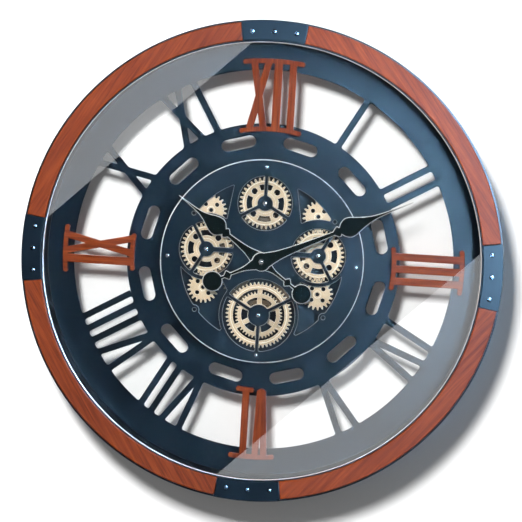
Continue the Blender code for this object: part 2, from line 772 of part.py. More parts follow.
def make_battery_box():
    """Two cells in an open box, with a hinged door and a slide switch in its upper wall."""
    x, z = BATTERY_BOX_CENTER
    half_x, half_z = BATTERY_BOX_SIZE[0] / 2, BATTERY_BOX_SIZE[1] / 2
    wall = 1.6 * MM
    outer = box(x - half_x, x + half_x, z - half_z, z + half_z)
    inner = box(x - half_x + wall, x + half_x - wall, z - half_z + wall, z + half_z - wall)
    switch_hole = box(x + 12 * MM, x + 22 * MM, z + half_z - 2 * wall, z + half_z + wall)
    front, back = BATTERY_BOX_DEPTHS
    sides = [("+", outer), ("-", inner)]
    switch_front, switch_back = SWITCH_DEPTHS
    layers = [
        (front, front + wall, [("+", outer)]),
        (front + wall, switch_front, sides),
        (switch_front, switch_back, sides + [("-", switch_hole)]),
        (switch_back, back, sides),
    ]
    stack("gear_battery_box", layers, BLACK)
    nub = box(x + 12.5 * MM, x + 17.5 * MM, z + half_z - 1.3 * MM, z + half_z + 2.5 * MM)
    slider = [(switch_front + GAP, switch_back - GAP, [("+", nub)])]
    stack("gear_switch", slider, WHITE, (x + 15 * MM, z + half_z), 44 * MM)
    for name, offset in (("upper", 8.1 * MM), ("lower", -8.1 * MM)):
        make_cell(f"gear_cell_{name}", (x, z + offset), 45.2 * MM, 1)
    door = box(x - half_x, x + half_x, z - half_z, z + half_z)
    hinge = (x, z + half_z)
    lid = (back + GAP, back + 1.8 * MM)
    stack("gear_battery_door", [(*lid, [("+", door)])], BLACK, hinge, lid[1])


def make_cell(name, center, depth, facing):
    """An AA cell along X, its contact pin towards the given side."""
    half = CELL_LENGTH / 2
    bm = bmesh.new()
    profile = [
        (0.0, -half),
        (CELL_RADIUS, -half),
        (CELL_RADIUS, half - 1.5 * MM),
        (2.7 * MM, half - 1.5 * MM),
        (2.7 * MM, half),
        (0.0, half),
    ]
    line = [bm.verts.new((along * facing, radius, 0.0)) for radius, along in profile]
    edges = [bm.edges.new(pair) for pair in zip(line, line[1:])]
    bmesh.ops.spin(
        bm,
        geom=line + edges,
        cent=(0, 0, 0),
        axis=(1, 0, 0),
        angle=2 * math.pi,
        steps=14,
        use_merge=True,
    )
    bmesh.ops.remove_doubles(bm, verts=bm.verts, dist=1e-6)
    bmesh.ops.translate(bm, verts=bm.verts, vec=(center[0], depth_y(depth), center[1]))
    add_object(name, bm, COPPER, center, depth_y(depth))


# ---------------------------------------------------------------- quartz movement


def make_movement_case():
    """The movement's open case with its threaded bush, and the nut that clamps it to the tray."""
    half = CASE_SIDE / 2
    wall = 1.5 * MM
    outer = box(-half, half, -half, half)
    inner = box(wall - half, half - wall, wall - half, half - wall)
    bush = circle(4.0 * MM, 16)
    bore = circle(2.9 * MM, 16)
    front, back = CASE_DEPTHS
    layers = [
        (26.0 * MM, front, [("+", bush), ("-", bore)]),
        (front, front + wall, [("+", outer), ("-", bore)]),
        (front + wall, back, [("+", outer), ("-", inner)]),
    ]
    stack("movement_case", layers, BLACK)
    nut_depths = (31.6 * MM, TRAY_FLOOR_DEPTHS[0] - GAP)
    hexagon = circle(7.0 * MM, 6)
    stack("movement_nut", [(*nut_depths, [("+", hexagon), ("-", circle(4.3 * MM, 16))])], BRASS)


def make_movement_cover():
    """The back cover of the movement, open where the cell lies, and the cell."""
    half = CASE_SIDE / 2
    cell_z = -18.6 * MM
    window = box(-25.5 * MM, 25.5 * MM, cell_z - 7 * MM, cell_z + 7 * MM)
    arbor_hole = circle(1.6 * MM, 8, (0.0, MOTION_DISTANCE))
    steps = [("+", box(-half, half, -half, half)), ("-", window), ("-", arbor_hole)]
    stack("movement_cover", [(*CASE_COVER_DEPTHS, steps)], BLACK)
    make_cell("movement_cell", (0.0, cell_z), 45.2 * MM, -1)


def make_movement_drive():
    """The circuit board and the coil of the stepping motor."""
    board = box(-24 * MM, -11 * MM, -6 * MM, 22 * MM)
    stack("circuit_board", [(48 * MM, 49.2 * MM, [("+", board)])], GREEN)
    coil = box(13 * MM, 20 * MM, -4 * MM, 20 * MM)
    stack("stepper_coil", [(41 * MM, 47 * MM, [("+", coil)])], COPPER)


def make_motion_work():
    """The gears behind the hands: one turn of the hour tube for twelve of the minute arbor."""
    direction = math.pi / 2
    wheel_center = (0.0, MOTION_DISTANCE)
    front = (37.8 * MM, 39.3 * MM)
    rear = (39.9 * MM, 41.7 * MM)
    arbor = circle(AXLE_RADIUS, 12)
    cannon = gear_outline(CANNON_TEETH, MOTION_MODULE, 0.0)
    layers = [
        (MINUTE_HAND_DEPTHS[0] - 0.8 * MM, rear[0], [("+", arbor)]),
        (*rear, [("+", cannon)]),
        (rear[1], 50 * MM, [("+", arbor)]),
    ]
    stack("minute_arbor", layers, BRASS)
    wheel_phase = meshed_phase(0.0, CANNON_TEETH, direction, MINUTE_WHEEL_TEETH)
    wheel = gear_outline(MINUTE_WHEEL_TEETH, MOTION_MODULE, wheel_phase, wheel_center)
    pinion = gear_outline(MINUTE_PINION_TEETH, MOTION_MODULE, -direction, wheel_center)
    rod = circle(1.2 * MM, 8, wheel_center)
    layers = [
        (front[0], rear[0], [("+", pinion)]),
        (*rear, [("+", wheel)]),
        (rear[1], CASE_COVER_DEPTHS[1] + GAP, [("+", rod)]),
    ]
    stack("minute_wheel", layers, WHITE, wheel_center)
    half_tooth = math.pi / HOUR_WHEEL_TEETH
    hour = gear_outline(HOUR_WHEEL_TEETH, MOTION_MODULE, direction + half_tooth)
    bore = ("-", circle(1.8 * MM, 12))
    layers = [
        (HOUR_HAND_DEPTHS[0] - 0.8 * MM, front[0], [("+", circle(2.5 * MM, 12)), bore]),
        (*front, [("+", hour), bore]),
    ]
    stack("hour_wheel", layers, WHITE)
    start = CASE_COVER_DEPTHS[1] + 2 * GAP
    knob = [(0.0, start), (5.5 * MM, start), (6 * MM, 59.5 * MM), (0.0, 59.5 * MM)]
    turned("set_knob", knob, WHITE, wheel_center, steps=14, origin_depth=start)


# ---------------------------------------------------------------- hands


def hand_steps(side, hub, tail_center, tail_radius, bore, angle):
    """A hand drawn towards twelve from the points of its right side, tail first."""
    points = [(x * MM, z * MM) for x, z in side]
    outline = points + [(-x, z) for x, z in reversed(points)]
    loops = [
        ("+", outline),
        ("+", circle(hub, 20)),
        ("+", circle(tail_radius, 20, (0.0, -tail_center))),
    ]
    placed = [(sign, clock_placed(loop, angle)) for sign, loop in loops]
    return placed + [("-", circle(bore, 12))]


def make_hands():
    """The minute hand, the hour hand below it and the nut on the minute arbor."""
    tail = [(2.4, -60), (2.0, -50), (6.3, -45), (2.0, -41), (3.0, -24), (7.0, -10)]
    root = [(9.5, 8), (6.2, 24), (4.3, 48), (3.2, 78), (2.7, 97), (7.0, 103), (5.0, 106)]
    leaf = [(9.5, 110), (12.7, 118.6), (10.0, 128), (5.2, 142), (2.2, 159), (0.5, 203)]
    bore = AXLE_RADIUS + GAP
    steps = hand_steps(tail + root + leaf, 12 * MM, 65.9 * MM, 12.7 * MM, bore, MINUTE_ANGLE)
    stack("minute_hand", [(*MINUTE_HAND_DEPTHS, steps)], BLACK)
    tail = [(2.4, -58), (2.0, -46), (6.2, -41), (2.0, -37), (3.0, -20), (7.0, -9)]
    root = [(9.5, 8), (5.6, 22), (3.6, 38), (2.7, 52), (7.0, 57), (5.0, 60)]
    leaf = [(9.5, 64), (12.0, 72), (9.6, 80), (4.8, 91), (2.2, 103), (0.5, 132)]
    bore = 2.5 * MM + GAP
    steps = hand_steps(tail + root + leaf, 12 * MM, 64.1 * MM, 12.3 * MM, bore, HOUR_ANGLE)
    stack("hour_hand", [(*HOUR_HAND_DEPTHS, steps)], BLACK)
    front, back = NUT_DEPTHS
    profile = [
        (0.0, front),
        (1.9 * MM, front + 0.5 * MM),
        (3.0 * MM, front + 1.6 * MM),
        (3.2 * MM, back),
        (AXLE_RADIUS + GAP, back),
        (AXLE_RADIUS + GAP, front + 2 * MM),
        (0.0, front + 2 * MM),
    ]
    turned("hand_nut", profile, SILVER, steps=14, origin_depth=back)


def clear_scene():
    """An empty scene."""
    for obj in list(bpy.data.objects):
        bpy.data.objects.remove(obj)


def main():
    """Every piece of the clock."""
    clear_scene()
    make_hoop()
    make_ring_trim()
    make_glass()
    make_hanger()
    make_dial()
    make_applied_numerals()
    make_cover()
    make_tray()
    make_screws()
    make_gears()
    make_motor()
    make_battery_box()
    make_movement_case()
    make_movement_cover()
    make_movement_drive()
    make_motion_work()
    make_hands()


main()
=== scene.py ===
import itertools
import json
import math

import bmesh
import bpy
from mathutils import Matrix, Vector
from mathutils.geometry import delaunay_2d_cdt


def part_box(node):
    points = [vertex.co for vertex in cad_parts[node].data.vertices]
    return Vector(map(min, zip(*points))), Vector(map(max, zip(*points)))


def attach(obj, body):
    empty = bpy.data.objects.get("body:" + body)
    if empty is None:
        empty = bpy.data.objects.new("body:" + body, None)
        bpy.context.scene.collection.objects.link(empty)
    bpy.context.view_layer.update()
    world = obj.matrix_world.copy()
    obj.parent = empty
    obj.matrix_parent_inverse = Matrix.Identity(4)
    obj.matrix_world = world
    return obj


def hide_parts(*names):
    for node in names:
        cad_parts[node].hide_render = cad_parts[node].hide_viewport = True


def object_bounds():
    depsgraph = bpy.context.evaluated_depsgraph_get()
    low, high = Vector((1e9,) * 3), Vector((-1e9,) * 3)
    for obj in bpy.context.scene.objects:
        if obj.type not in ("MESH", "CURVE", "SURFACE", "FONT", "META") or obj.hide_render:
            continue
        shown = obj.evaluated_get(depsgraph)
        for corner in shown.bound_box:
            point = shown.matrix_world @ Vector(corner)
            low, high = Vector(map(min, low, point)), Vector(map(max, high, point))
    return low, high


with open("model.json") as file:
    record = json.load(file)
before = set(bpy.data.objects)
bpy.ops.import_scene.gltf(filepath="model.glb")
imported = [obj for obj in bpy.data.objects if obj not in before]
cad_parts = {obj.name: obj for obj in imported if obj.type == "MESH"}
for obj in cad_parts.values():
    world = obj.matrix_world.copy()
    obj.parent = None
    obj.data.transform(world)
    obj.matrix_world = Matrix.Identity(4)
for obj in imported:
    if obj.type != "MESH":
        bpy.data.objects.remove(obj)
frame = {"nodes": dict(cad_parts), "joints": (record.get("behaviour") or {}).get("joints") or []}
cad_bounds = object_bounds()
NODES = frame["nodes"]

MM = 0.001  # metres
GAP = 0.3 * MM  # clearance between pieces, as in the CAD

# The CAD's driving sizes
RIM_RADIUS = 300 * MM
HOOP_WALL = 2 * MM
RING_INNER_RADIUS = 275.2 * MM
INNER_WALL_RADIUS = 272.5 * MM
STRAP_HALF_ANGLE = math.radians(8)
STRAP_SCREW_STEP = math.radians(5.5)
STRAP_SCREW_RADIUS = 286 * MM
WINDOW_OUTER_RADIUS = 239 * MM
WINDOW_INNER_RADIUS = 172 * MM
DIAL_HOLE_RADIUS = 112 * MM
SLOT_RADIUS = 149.5 * MM
APPLIED_INNER = 162 * MM
APPLIED_OUTER = 253 * MM
SERIF_HEIGHT = 6 * MM
COVER_RADIUS = 127.6 * MM
COVER_SCREW_RADIUS = 118 * MM
TRAY_RADIUS = 125 * MM
MODULE = 1.8 * MM
CENTER_TEETH = 64
WHEEL_TEETH = 34
SMALL_TEETH = 20
MOTOR_TEETH = 10
PINIONS = {"top": 17, "left": 15, "right": 15, "bottom": 11}
AXLE_RADIUS = 1.5 * MM
WHEEL_DEPTH = 4 * MM
PINION_DEPTH = 4 * MM
MINUTE_ANGLE = math.radians(65)
HOUR_ANGLE = math.radians(305.4)
ORIGIN = (0.0, 0.0)
QUARTERS = (("top", 90), ("right", 0), ("bottom", 270), ("left", 180))


# ------------ outlines in the (x, z) plane


def polar(radius, angle, center=ORIGIN):
    """The point at this radius and angle, counterclockwise from +X."""
    return (center[0] + radius * math.cos(angle), center[1] + radius * math.sin(angle))


def arc(radius, start, end, steps, center=ORIGIN):
    """The points of an arc, both ends included."""
    return [polar(radius, start + (end - start) * i / steps, center) for i in range(steps + 1)]


def arc_degrees(radius, start, end, steps, center=ORIGIN):
    """The points of an arc between two angles in degrees."""
    return arc(radius, math.radians(start), math.radians(end), steps, center)


def circle(radius, steps=48, center=ORIGIN):
    """A closed circle."""
    return arc(radius, 0, 2 * math.pi, steps, center)[:-1]


def at(radius, degrees, center=ORIGIN):
    """The point at this radius and angle in degrees."""
    return polar(radius, math.radians(degrees), center)


def disc(radius, steps, center=ORIGIN):
    """The step that adds a disc to a shape."""
    return ("+", circle(radius, steps, center))


def round_hole(radius, steps, center=ORIGIN):
    """The step that cuts a round hole out of a shape."""
    return ("-", circle(radius, steps, center))


def axle_bore(center):
    """The step that cuts the hole for a screw or an axle."""
    return round_hole(AXLE_RADIUS + GAP, 24, center)


def ring_sector(inner, outer, start, end, steps, center=ORIGIN):
    """A stretch of a flat ring."""
    return arc(outer, start, end, steps, center) + arc(inner, end, start, steps, center)


def turned_by(points, angle, center=ORIGIN):
    """The points turned counterclockwise about the origin, then moved to center."""
    cos, sin = math.cos(angle), math.sin(angle)
    return [(center[0] + x * cos - z * sin, center[1] + x * sin + z * cos) for x, z in points]


def bar(start, end, width):
    """A straight bar between two points."""
    (x0, z0), (x1, z1) = start, end
    length = math.hypot(x1 - x0, z1 - z0)
    side = ((z0 - z1) / length * width / 2, (x1 - x0) / length * width / 2)
    return [
        (x0 + side[0], z0 + side[1]),
        (x0 - side[0], z0 - side[1]),
        (x1 - side[0], z1 - side[1]),
        (x1 + side[0], z1 + side[1]),
    ]


def rounded_slot(length, width):
    """A slot along x with half-round ends."""
    reach = (length - width) / 2
    right = arc(width / 2, -math.pi / 2, math.pi / 2, 12, (reach, 0.0))
    return right + [(-x, -z) for x, z in right]


def mirrored(points):
    """The points with x changed in sign."""
    return [(-x, z) for x, z in points]


def gear_outline(teeth, center=ORIGIN, phase=0.0, module=MODULE):
    """Curved-flank teeth, the first one centred on the phase angle."""
    pitch = 2 * math.pi / teeth
    tip = module * (teeth / 2 + 0.95)
    root = module * (teeth / 2 - 1.25)
    flank = ((0.0, 0.28), (0.12, 0.262), (0.45, 0.215), (0.8, 0.158), (1.0, 0.1))
    sides = [(rise, -half) for rise, half in flank] + list(reversed(flank))
    return [
        polar(root + rise * (tip - root), phase + (i + turn) * pitch, center)
        for i in range(teeth) for rise, turn in sides
    ]


def bearing(center, start=ORIGIN):
    """The angle at which a centre lies as seen from another."""
    return math.atan2(center[1] - start[1], center[0] - start[0])


def meshed_phase(teeth, direction, other_teeth):
    """The phase of a gear that meshes with one of phase zero, lying in this direction from it."""
    return direction + math.pi + math.pi / other_teeth + direction * teeth / other_teeth


def around(loop):
    """Each member of a closed loop with the next one."""
    return zip(loop, loop[1:] + loop[:1])


def counterclockwise(loop):
    """The outline in counterclockwise order."""
    area = sum(a[0] * b[1] - b[0] * a[1] for a, b in around(loop))
    return loop if area > 0 else loop[::-1]


def edge_loops(steps):
    """The edge of the shape that the steps add up to: closed loops with the shape on their left."""
    points, outlines = [], []
    for _, loop in steps:
        outlines.append(list(range(len(points), len(points) + len(loop))))
        points += [Vector((x / MM, z / MM)) for x, z in counterclockwise(loop)]
    verts, _, faces, _, _, sources = delaunay_2d_cdt(points, [], outlines, 0, 1e-5, True)
    edges = set()
    for face, source in zip(faces, sources):
        inside = False
        for number, (sign, _) in enumerate(steps):
            if number in source:
                inside = sign == "+"
        if inside:
            edges |= set(around(face))
    following = {a: b for a, b in edges if (b, a) not in edges}
    loops = []
    while following:
        first, at = following.popitem()
        loop = [first]
        while at != first and at in following:
            loop.append(at)
            at = following.pop(at)
        places = [(verts[v][0] * MM, verts[v][1] * MM) for v in loop]
        kept = [p for p, q in around(places) if math.dist(p, q) > 0.04 * MM]
        if len(kept) > 2:
            loops.append(kept)
    return loops


SHARP_CORNER = math.radians(25)  # corners that turn less than this stay as they are


def filleted(loop, reach):
    """The loop with each sharp corner rounded off over this reach on both sides."""
    count = len(loop)
    lengths = [math.dist(a, b) for a, b in around(loop)]
    places = list(itertools.accumulate(lengths, initial=0.0))
    whole = places[-1]
    corners = []
    for i in range(count):
        turn = bearing(loop[(i + 1) % count], loop[i]) - bearing(loop[i], loop[i - 1])
        if abs((turn + math.pi) % (2 * math.pi) - math.pi) > SHARP_CORNER:
            corners.append(i)

    def point_at(place):
        place %= whole
        number = max(i for i in range(count) if places[i] <= place)
        part = (place - places[number]) / lengths[number]
        return tuple(a + (b - a) * part for a, b in zip(loop[number], loop[(number + 1) % count]))

    removed, curves = set(), {}
    for number, i in enumerate(corners):
        before = places[i] - places[corners[number - 1]]
        after = places[corners[(number + 1) % len(corners)]] - places[i]
        here = min(reach, 0.42 * min(before % whole or whole, after % whole or whole))
        ends = point_at(places[i] - here), point_at(places[i] + here)
        curves[i] = []
        for s in (step / 6 for step in range(7)):
            weights = ((1 - s) ** 2, 2 * s * (1 - s), s * s)
            parts = zip(ends[0], loop[i], ends[1])
            curves[i].append(tuple(sum(w * c for w, c in zip(weights, part)) for part in parts))
        for j in range(count):
            gap = abs((places[j] - places[i] + whole / 2) % whole - whole / 2)
            if gap < here + 0.05 * MM:
                removed.add(j)
    made = []
    for i in range(count):
        if i in curves:
            made += curves[i]
        elif i not in removed:
            made.append(loop[i])
    return made


def inset(loop, distance):
    """The loop moved to its left by this distance, with sharp corners held back."""
    moved = []
    for before, here, after in zip(loop[-1:] + loop[:-1], loop, loop[1:] + loop[:1]):
        normals = []
        for (x0, z0), (x1, z1) in ((before, here), (here, after)):
            length = math.hypot(x1 - x0, z1 - z0)
            normals.append(((z0 - z1) / length, (x1 - x0) / length))
        (ax, az), (bx, bz) = normals
        scale = distance / max(1 + ax * bx + az * bz, 0.35)
        moved.append((here[0] + (ax + bx) * scale, here[1] + (az + bz) * scale))
    return moved


# ------------ meshes


def finish_mesh(name, bm, materials, body, replaced, flat=()):
    """The object of a finished mesh, with its materials, its body and the CAD nodes it stands for."""
    mesh = bpy.data.meshes.new(name)
    bm.to_mesh(mesh)
    bm.free()
    mesh.shade_smooth()
    mesh.set_sharp_from_angle(angle=math.radians(32))
    for number in flat:
        mesh.polygons[number].use_smooth = False
    for material in materials:
        mesh.materials.append(material)
    obj = bpy.data.objects.new(name, mesh)
    bpy.context.scene.collection.objects.link(obj)
    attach(obj, body)
    if replaced:
        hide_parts(*replaced)
    return obj


def soften(obj, width):
    """Rounds the sharp edges of an object."""
    made = obj.modifiers.new("rounded_edges", "BEVEL")
    made.width = width
    made.segments = 2
    made.limit_method = "ANGLE"
    made.angle_limit = math.radians(40)
    made.use_clamp_overlap = True


def add_plate(bm, steps, profile, fillet=0.0):
    """A shape built through the levels of the profile, (inset, y, material) each, front first.

    The material is that of the band behind the level. It returns the flat end faces.
    """
    loops = edge_loops(steps)
    if fillet:
        loops = [filleted(loop, fillet) for loop in loops]
    rings = []
    for distance, y, _ in profile:
        level = []
        for loop in loops:
            moved = inset(loop, distance) if distance else loop
            level.append([bm.verts.new((x, y, z)) for x, z in moved])
        rings.append(level)
    for number, (front, back) in enumerate(zip(rings, rings[1:])):
        for near, far in zip(front, back):
            for i in range(len(near)):
                j = (i + 1) % len(near)
                face = bm.faces.new([near[i], near[j], far[j], far[i]])
                face.material_index = profile[number][2]
    caps = []
    for level, facing in ((rings[0], 1), (rings[-1], -1)):
        corners = [vert for ring in level for vert in ring]
        points = [Vector((vert.co.x / MM, vert.co.z / MM)) for vert in corners]
        outlines, start = [], 0
        for ring in level:
            numbers = list(range(start, start + len(ring)))
            area = sum(points[a].cross(points[b]) for a, b in around(numbers))
            outlines.append(numbers if area > 0 else numbers[::-1])
            start += len(ring)
        verts, _, faces, origins, _, sources = delaunay_2d_cdt(points, [], outlines, 0, 1e-6, True)
        made = []
        for place, origin in zip(verts, origins):
            known = corners[origin[0]] if origin else None
            made.append(known or bm.verts.new((place[0] * MM, level[0][0].co.y, place[1] * MM)))
        for face, source in zip(faces, sources):
            if len(source) % 2 == 0 or len({made[v] for v in face}) < 3:
                continue
            caps.append(bm.faces.new([made[v] for v in face][::facing]))
    return caps


def plate(name, shapes, materials, body, replaced, fillet=0.0):
    """An object of one or more (steps, profile) plates."""
    bm = bmesh.new()
    caps = []
    for steps, profile in shapes:
        caps += add_plate(bm, steps, profile, fillet)
    bm.normal_update()
    bm.faces.index_update()
    flat = [face.index for face in caps if face.is_valid]
    return finish_mesh(name, bm, materials, body, replaced, flat=flat)


def chamfered(front, back, width=0.3 * MM, rear=0.0, edge=0):
    """A flat front with a chamfer of this width round it, and one at the back if rear is given."""
    levels = [(width, front, edge), (0.0, front + width, 0)]
    if rear:
        return levels + [(0.0, back - rear, edge), (rear, back, 0)]
    return levels + [(0.0, back, 0)]


def dome(front, height, radius, segments):
    """The (radius, y) points of a quarter of an oval, from the middle of its front outward."""
    turns = [math.pi / 2 * i / segments for i in range(segments + 1)]
    return [(radius * math.sin(turn), front + height * (1 - math.cos(turn))) for turn in turns]


def rounded(front, back, radius, segments):
    """A flat front with a rounded edge."""
    levels = [(radius - out, y, 0) for out, y in dome(front, radius, radius, segments)]
    return levels + [(0.0, back, 0)]


def lathe(name, profile, materials, body, replaced, steps, center=ORIGIN, along="Y"):
    """A profile of (radius, distance along the axis, material) turned into a solid.

    The profile is closed by itself where it leaves the axis. Along Y the centre is (x, z), and along X
    it is (y, z).
    """
    bm = bmesh.new()
    rows = []
    for i in range(steps):
        turn = 2 * math.pi * i / steps
        row = []
        for number, (radius, distance, _) in enumerate(profile):
            if radius == 0 and i:
                row.append(rows[0][number])
                continue
            a, b = polar(radius, turn, center)
            row.append(bm.verts.new((a, distance, b) if along == "Y" else (distance, a, b)))
        rows.append(row)
    count = len(profile)
    open_ends = profile[0][0] == 0
    for i, row in enumerate(rows):
        beside = rows[(i + 1) % steps]
        for number in range(count - 1 if open_ends else count):
            after = (number + 1) % count
            corners = [row[number], beside[number], beside[after], row[after]]
            unique = list(dict.fromkeys(corners))
            if len(unique) > 2:
                bm.faces.new(unique).material_index = profile[number][2]
    bmesh.ops.recalc_face_normals(bm, faces=bm.faces)
    return finish_mesh(name, bm, materials, body, replaced)


# ------------ materials


class Nodes:
    """A node tree, with short ways to add and link nodes."""

    def __init__(self, tree):
        self.tree = tree

    def node(self, kind, settings=(), **inputs):
        """A node with its settings and inputs. An input is a value or another node's output."""
        made = self.tree.nodes.new(kind)
        for key, value in dict(settings).items():
            setattr(made, key, value)
        for key, value in inputs.items():
            self.set(made, key.replace("_", " "), value)
        return made

    def set(self, node, key, value):
        """Sets or links an input of a node."""
        socket = node.inputs[int(key)] if key.isdigit() else node.inputs[key]
        if isinstance(value, bpy.types.NodeSocket):
            self.tree.links.new(value, socket)
        else:
            socket.default_value = value

    def coordinates(self, scale=(1, 1, 1)):
        """Object coordinates in metres, scaled."""
        place = self.node("ShaderNodeTexCoord").outputs["Object"]
        return self.node("ShaderNodeMapping", Vector=place, Scale=scale).outputs[0]

    def noise(self, place, scale, detail=4.0, roughness=0.55, distortion=0.0):
        """The value of a noise texture."""
        made = self.node("ShaderNodeTexNoise", Vector=place, Scale=scale, Detail=detail,
                         Roughness=roughness, Distortion=distortion)
        return made.outputs["Fac"]

    def ramp(self, value, stops):
        """A colour ramp through (position, colour) stops."""
        made = self.node("ShaderNodeValToRGB", Fac=value)
        elements = made.color_ramp.elements
        while len(elements) < len(stops):
            elements.new(0.5)
        for element, (position, color) in zip(elements, stops):
            element.position = position
            element.color = (*color, 1.0)
        return made.outputs["Color"]

    def clouded(self, value, color, vary):
        """The colour, darker and lighter by this share where the value is low and high."""
        return self.ramp(value, [(0.3, tint(color, 1 - vary)), (0.7, tint(color, 1 + vary))])

    def mix(self, kind, factor, first, second, blend="MIX"):
        """A mix of two values or colours."""
        made = self.node("ShaderNodeMix", {"data_type": kind, "blend_type": blend})
        for key, value in (("Factor", factor), ("A", first), ("B", second)):
            self.set(made, key, value)
        return made.outputs["Result"]

    def mix_shaders(self, factor, first, second):
        """A mix of two shaders."""
        made = self.node("ShaderNodeMixShader", **{"0": factor, "1": first, "2": second})
        return made.outputs[0]

    def spread(self, value, low, high, start=0.3, end=0.7):
        """The value's range from start to end, mapped to low and high."""
        made = self.node("ShaderNodeMapRange", Value=value, From_Min=start, From_Max=end,
                         To_Min=low, To_Max=high)
        return made.outputs[0]


class Shader(Nodes):
    """The node tree of a new material."""

    def __init__(self, name):
        self.material = bpy.data.materials.new(name)
        self.material.use_nodes = True
        super().__init__(self.material.node_tree)
        self.shader = self.tree.nodes["Principled BSDF"]

    def bump(self, height, distance, strength=0.5):
        """A bumped normal, linked to the shader."""
        made = self.node("ShaderNodeBump", Height=height, Distance=distance, Strength=strength)
        self.set(self.shader, "Normal", made.outputs[0])

    def principled(self, **values):
        """Sets the shader's own sockets."""
        for key, value in values.items():
            self.set(self.shader, key.replace("_", " "), value)
        return self.material

    def surface(self, shader):
        """Gives the material this shader in place of what it had."""
        self.set(self.tree.nodes["Material Output"], "Surface", shader)
        return self.material


def tint(color, factor):
    """The colour made lighter or darker."""
    return tuple(min(1.0, part * factor) for part in color)


def metal(name, color, roughness, metallic=1.0, vary=0.25, grain=900, bump=0.006, streak=(1, 1, 1)):
    """A metal or painted metal, with clouded tone, uneven polish and a fine texture."""
    made = Shader(name)
    cloud = made.noise(made.coordinates(), 14, 5, 0.6)
    fine = made.noise(made.coordinates(streak), grain, 3, 0.6)
    made.bump(fine, bump * MM, 0.6)
    rough = made.spread(cloud, roughness * 0.9, roughness * 1.14)
    return made.principled(
        Base_Color=made.clouded(cloud, color, vary), Metallic=metallic, Roughness=rough)


def plastic(name, color, roughness):
    """A moulded plastic with a fine matt texture."""
    made = Shader(name)
    place = made.coordinates()
    fine = made.noise(place, 1500, 2, 0.5)
    made.bump(fine, 0.02 * MM, 0.5)
    tone = made.clouded(made.noise(place, 25, 4, 0.6), color, 0.1)
    return made.principled(Base_Color=tone, Roughness=made.spread(fine, roughness * 0.85, roughness * 1.2))


def wood(name, angle, tones, offset, fine):
    """Varnished wood, its grain along the direction at this angle from +X."""
    made = Shader(name)
    place = made.node("ShaderNodeTexCoord").outputs["Object"]
    along = made.node(
        "ShaderNodeMapping", Vector=place, Location=(offset, 0.0, offset), Rotation=(0.0, angle, 0.0))

    def stretched(x, y, z):
        scale = (x, y, z * fine)
        return made.node("ShaderNodeMapping", Vector=along.outputs[0], Scale=scale).outputs[0]

    bands = made.noise(stretched(9.0, 90.0, 150.0), 1.0, 4, 0.55, 0.5)
    fibres = made.noise(stretched(26.0, 300.0, 900.0), 1.0, 4, 0.65, 0.3)
    pores = made.noise(stretched(90.0, 700.0, 2600.0), 1.0, 2, 0.5)
    tone = made.ramp(made.mix("FLOAT", 0.55, bands, fibres), list(zip((0.36, 0.5, 0.64), tones)))
    dark = made.spread(pores, 1.0, 0.62, 0.56, 0.68)
    made.bump(fibres, 0.05 * MM, 0.5)
    return made.principled(
        Base_Color=made.mix("RGBA", 0.8, tone, dark, "MULTIPLY"),
        Roughness=made.spread(fibres, 0.32, 0.44),
        Specular_IOR_Level=0.22,
        Coat_Weight=0.1,
        Coat_Roughness=0.22,
    )


def glass_material():
    """Clear float glass: it lets light straight through and mirrors a little."""
    made = Shader("clear_glass")
    made.tree.nodes.remove(made.shader)
    cloud = made.noise(made.coordinates(), 6, 3)
    haze = made.ramp(cloud, [(0.3, (0.982, 0.986, 0.984)), (0.7, (0.99, 0.992, 0.99))])
    clear = made.node("ShaderNodeBsdfTransparent", Color=haze).outputs[0]
    mirror = made.node("ShaderNodeBsdfGlossy", Color=(1.0, 1.0, 1.0, 1.0), Roughness=0.0).outputs[0]
    facing = made.node("ShaderNodeLayerWeight", Blend=0.5).outputs["Facing"]
    steep = made.node("ShaderNodeMath", {"operation": "POWER"}, **{"0": facing, "1": 5.0}).outputs[0]
    edge = made.spread(steep, 0.075, 1.0, 0.0, 1.0)
    return made.surface(made.mix_shaders(edge, clear, mirror))


NAVY = (0.0011, 0.0029, 0.0054)
WOOD_TONES = ((0.085, 0.012, 0.002), (0.20, 0.034, 0.005), (0.31, 0.064, 0.011))

rim_metal = metal("rim_metal", NAVY, 0.34, 0.0, 0.3)
dial_metal = metal("dial_metal", NAVY, 0.33, 0.0, 0.25, 400, 0.002)
strap_metal = metal("strap_metal", NAVY, 0.31, 0.0, 0.3)
cover_metal = metal("cover_metal", tint(NAVY, 1.1), 0.33, 0.0, 0.25, 400, 0.002)
tray_metal = metal("tray_metal", tint(NAVY, 0.8), 0.5, 0.0, 0.25)
line_metal = metal("line_metal", (0.36, 0.34, 0.33), 0.30, 0.3, 0.12)
edge_metal = metal("edge_metal", (0.86, 0.80, 0.74), 0.28, 0.35, 0.12)
screw_steel = metal("screw_steel", (0.30, 0.32, 0.35), 0.26, 1.0, 0.1, 1500, 0.004)
bright_steel = metal("bright_steel", (0.82, 0.84, 0.88), 0.2, 0.8, 0.08, 1500, 0.004)
bead_metal = metal("bead_metal", (0.72, 0.66, 0.62), 0.3, 0.4, 0.15)
plate_steel = metal("plate_steel", (0.42, 0.43, 0.44), 0.32, 1.0, 0.15, 500, 0.01, (1, 1, 12))
# The cream of the display gears, and a near-white cream for their front chamfers that is a painted
# highlight on the edges.
cream = [
    metal("gear_cream", (0.62, 0.48, 0.315), 0.40, 0.0, 0.36, 600, 0.01),
    metal("gear_edge", (1.0, 0.93, 0.78), 0.3, 0.1, 0.05, 700),
]
# A dark cream for the hidden centre wheel, painted shade for the shadow it lies in behind the display
# wheels, and a lighter cream on its chamfers that is a painted highlight.
painted_shade_cream = [
    metal("gear_umber", (0.10, 0.068, 0.040), 0.4, 0.0, 0.3),
    metal("gear_umber_edge", (0.45, 0.33, 0.20), 0.4, 0.0, 0.1),
]
hand_black = metal("hand_black", (0.003, 0.006, 0.005), 0.17, 0.0, 0.3, 900, 0.002)
hand_edge = metal("hand_edge", (0.86, 0.85, 0.83), 0.26, 0.35, 0.1)
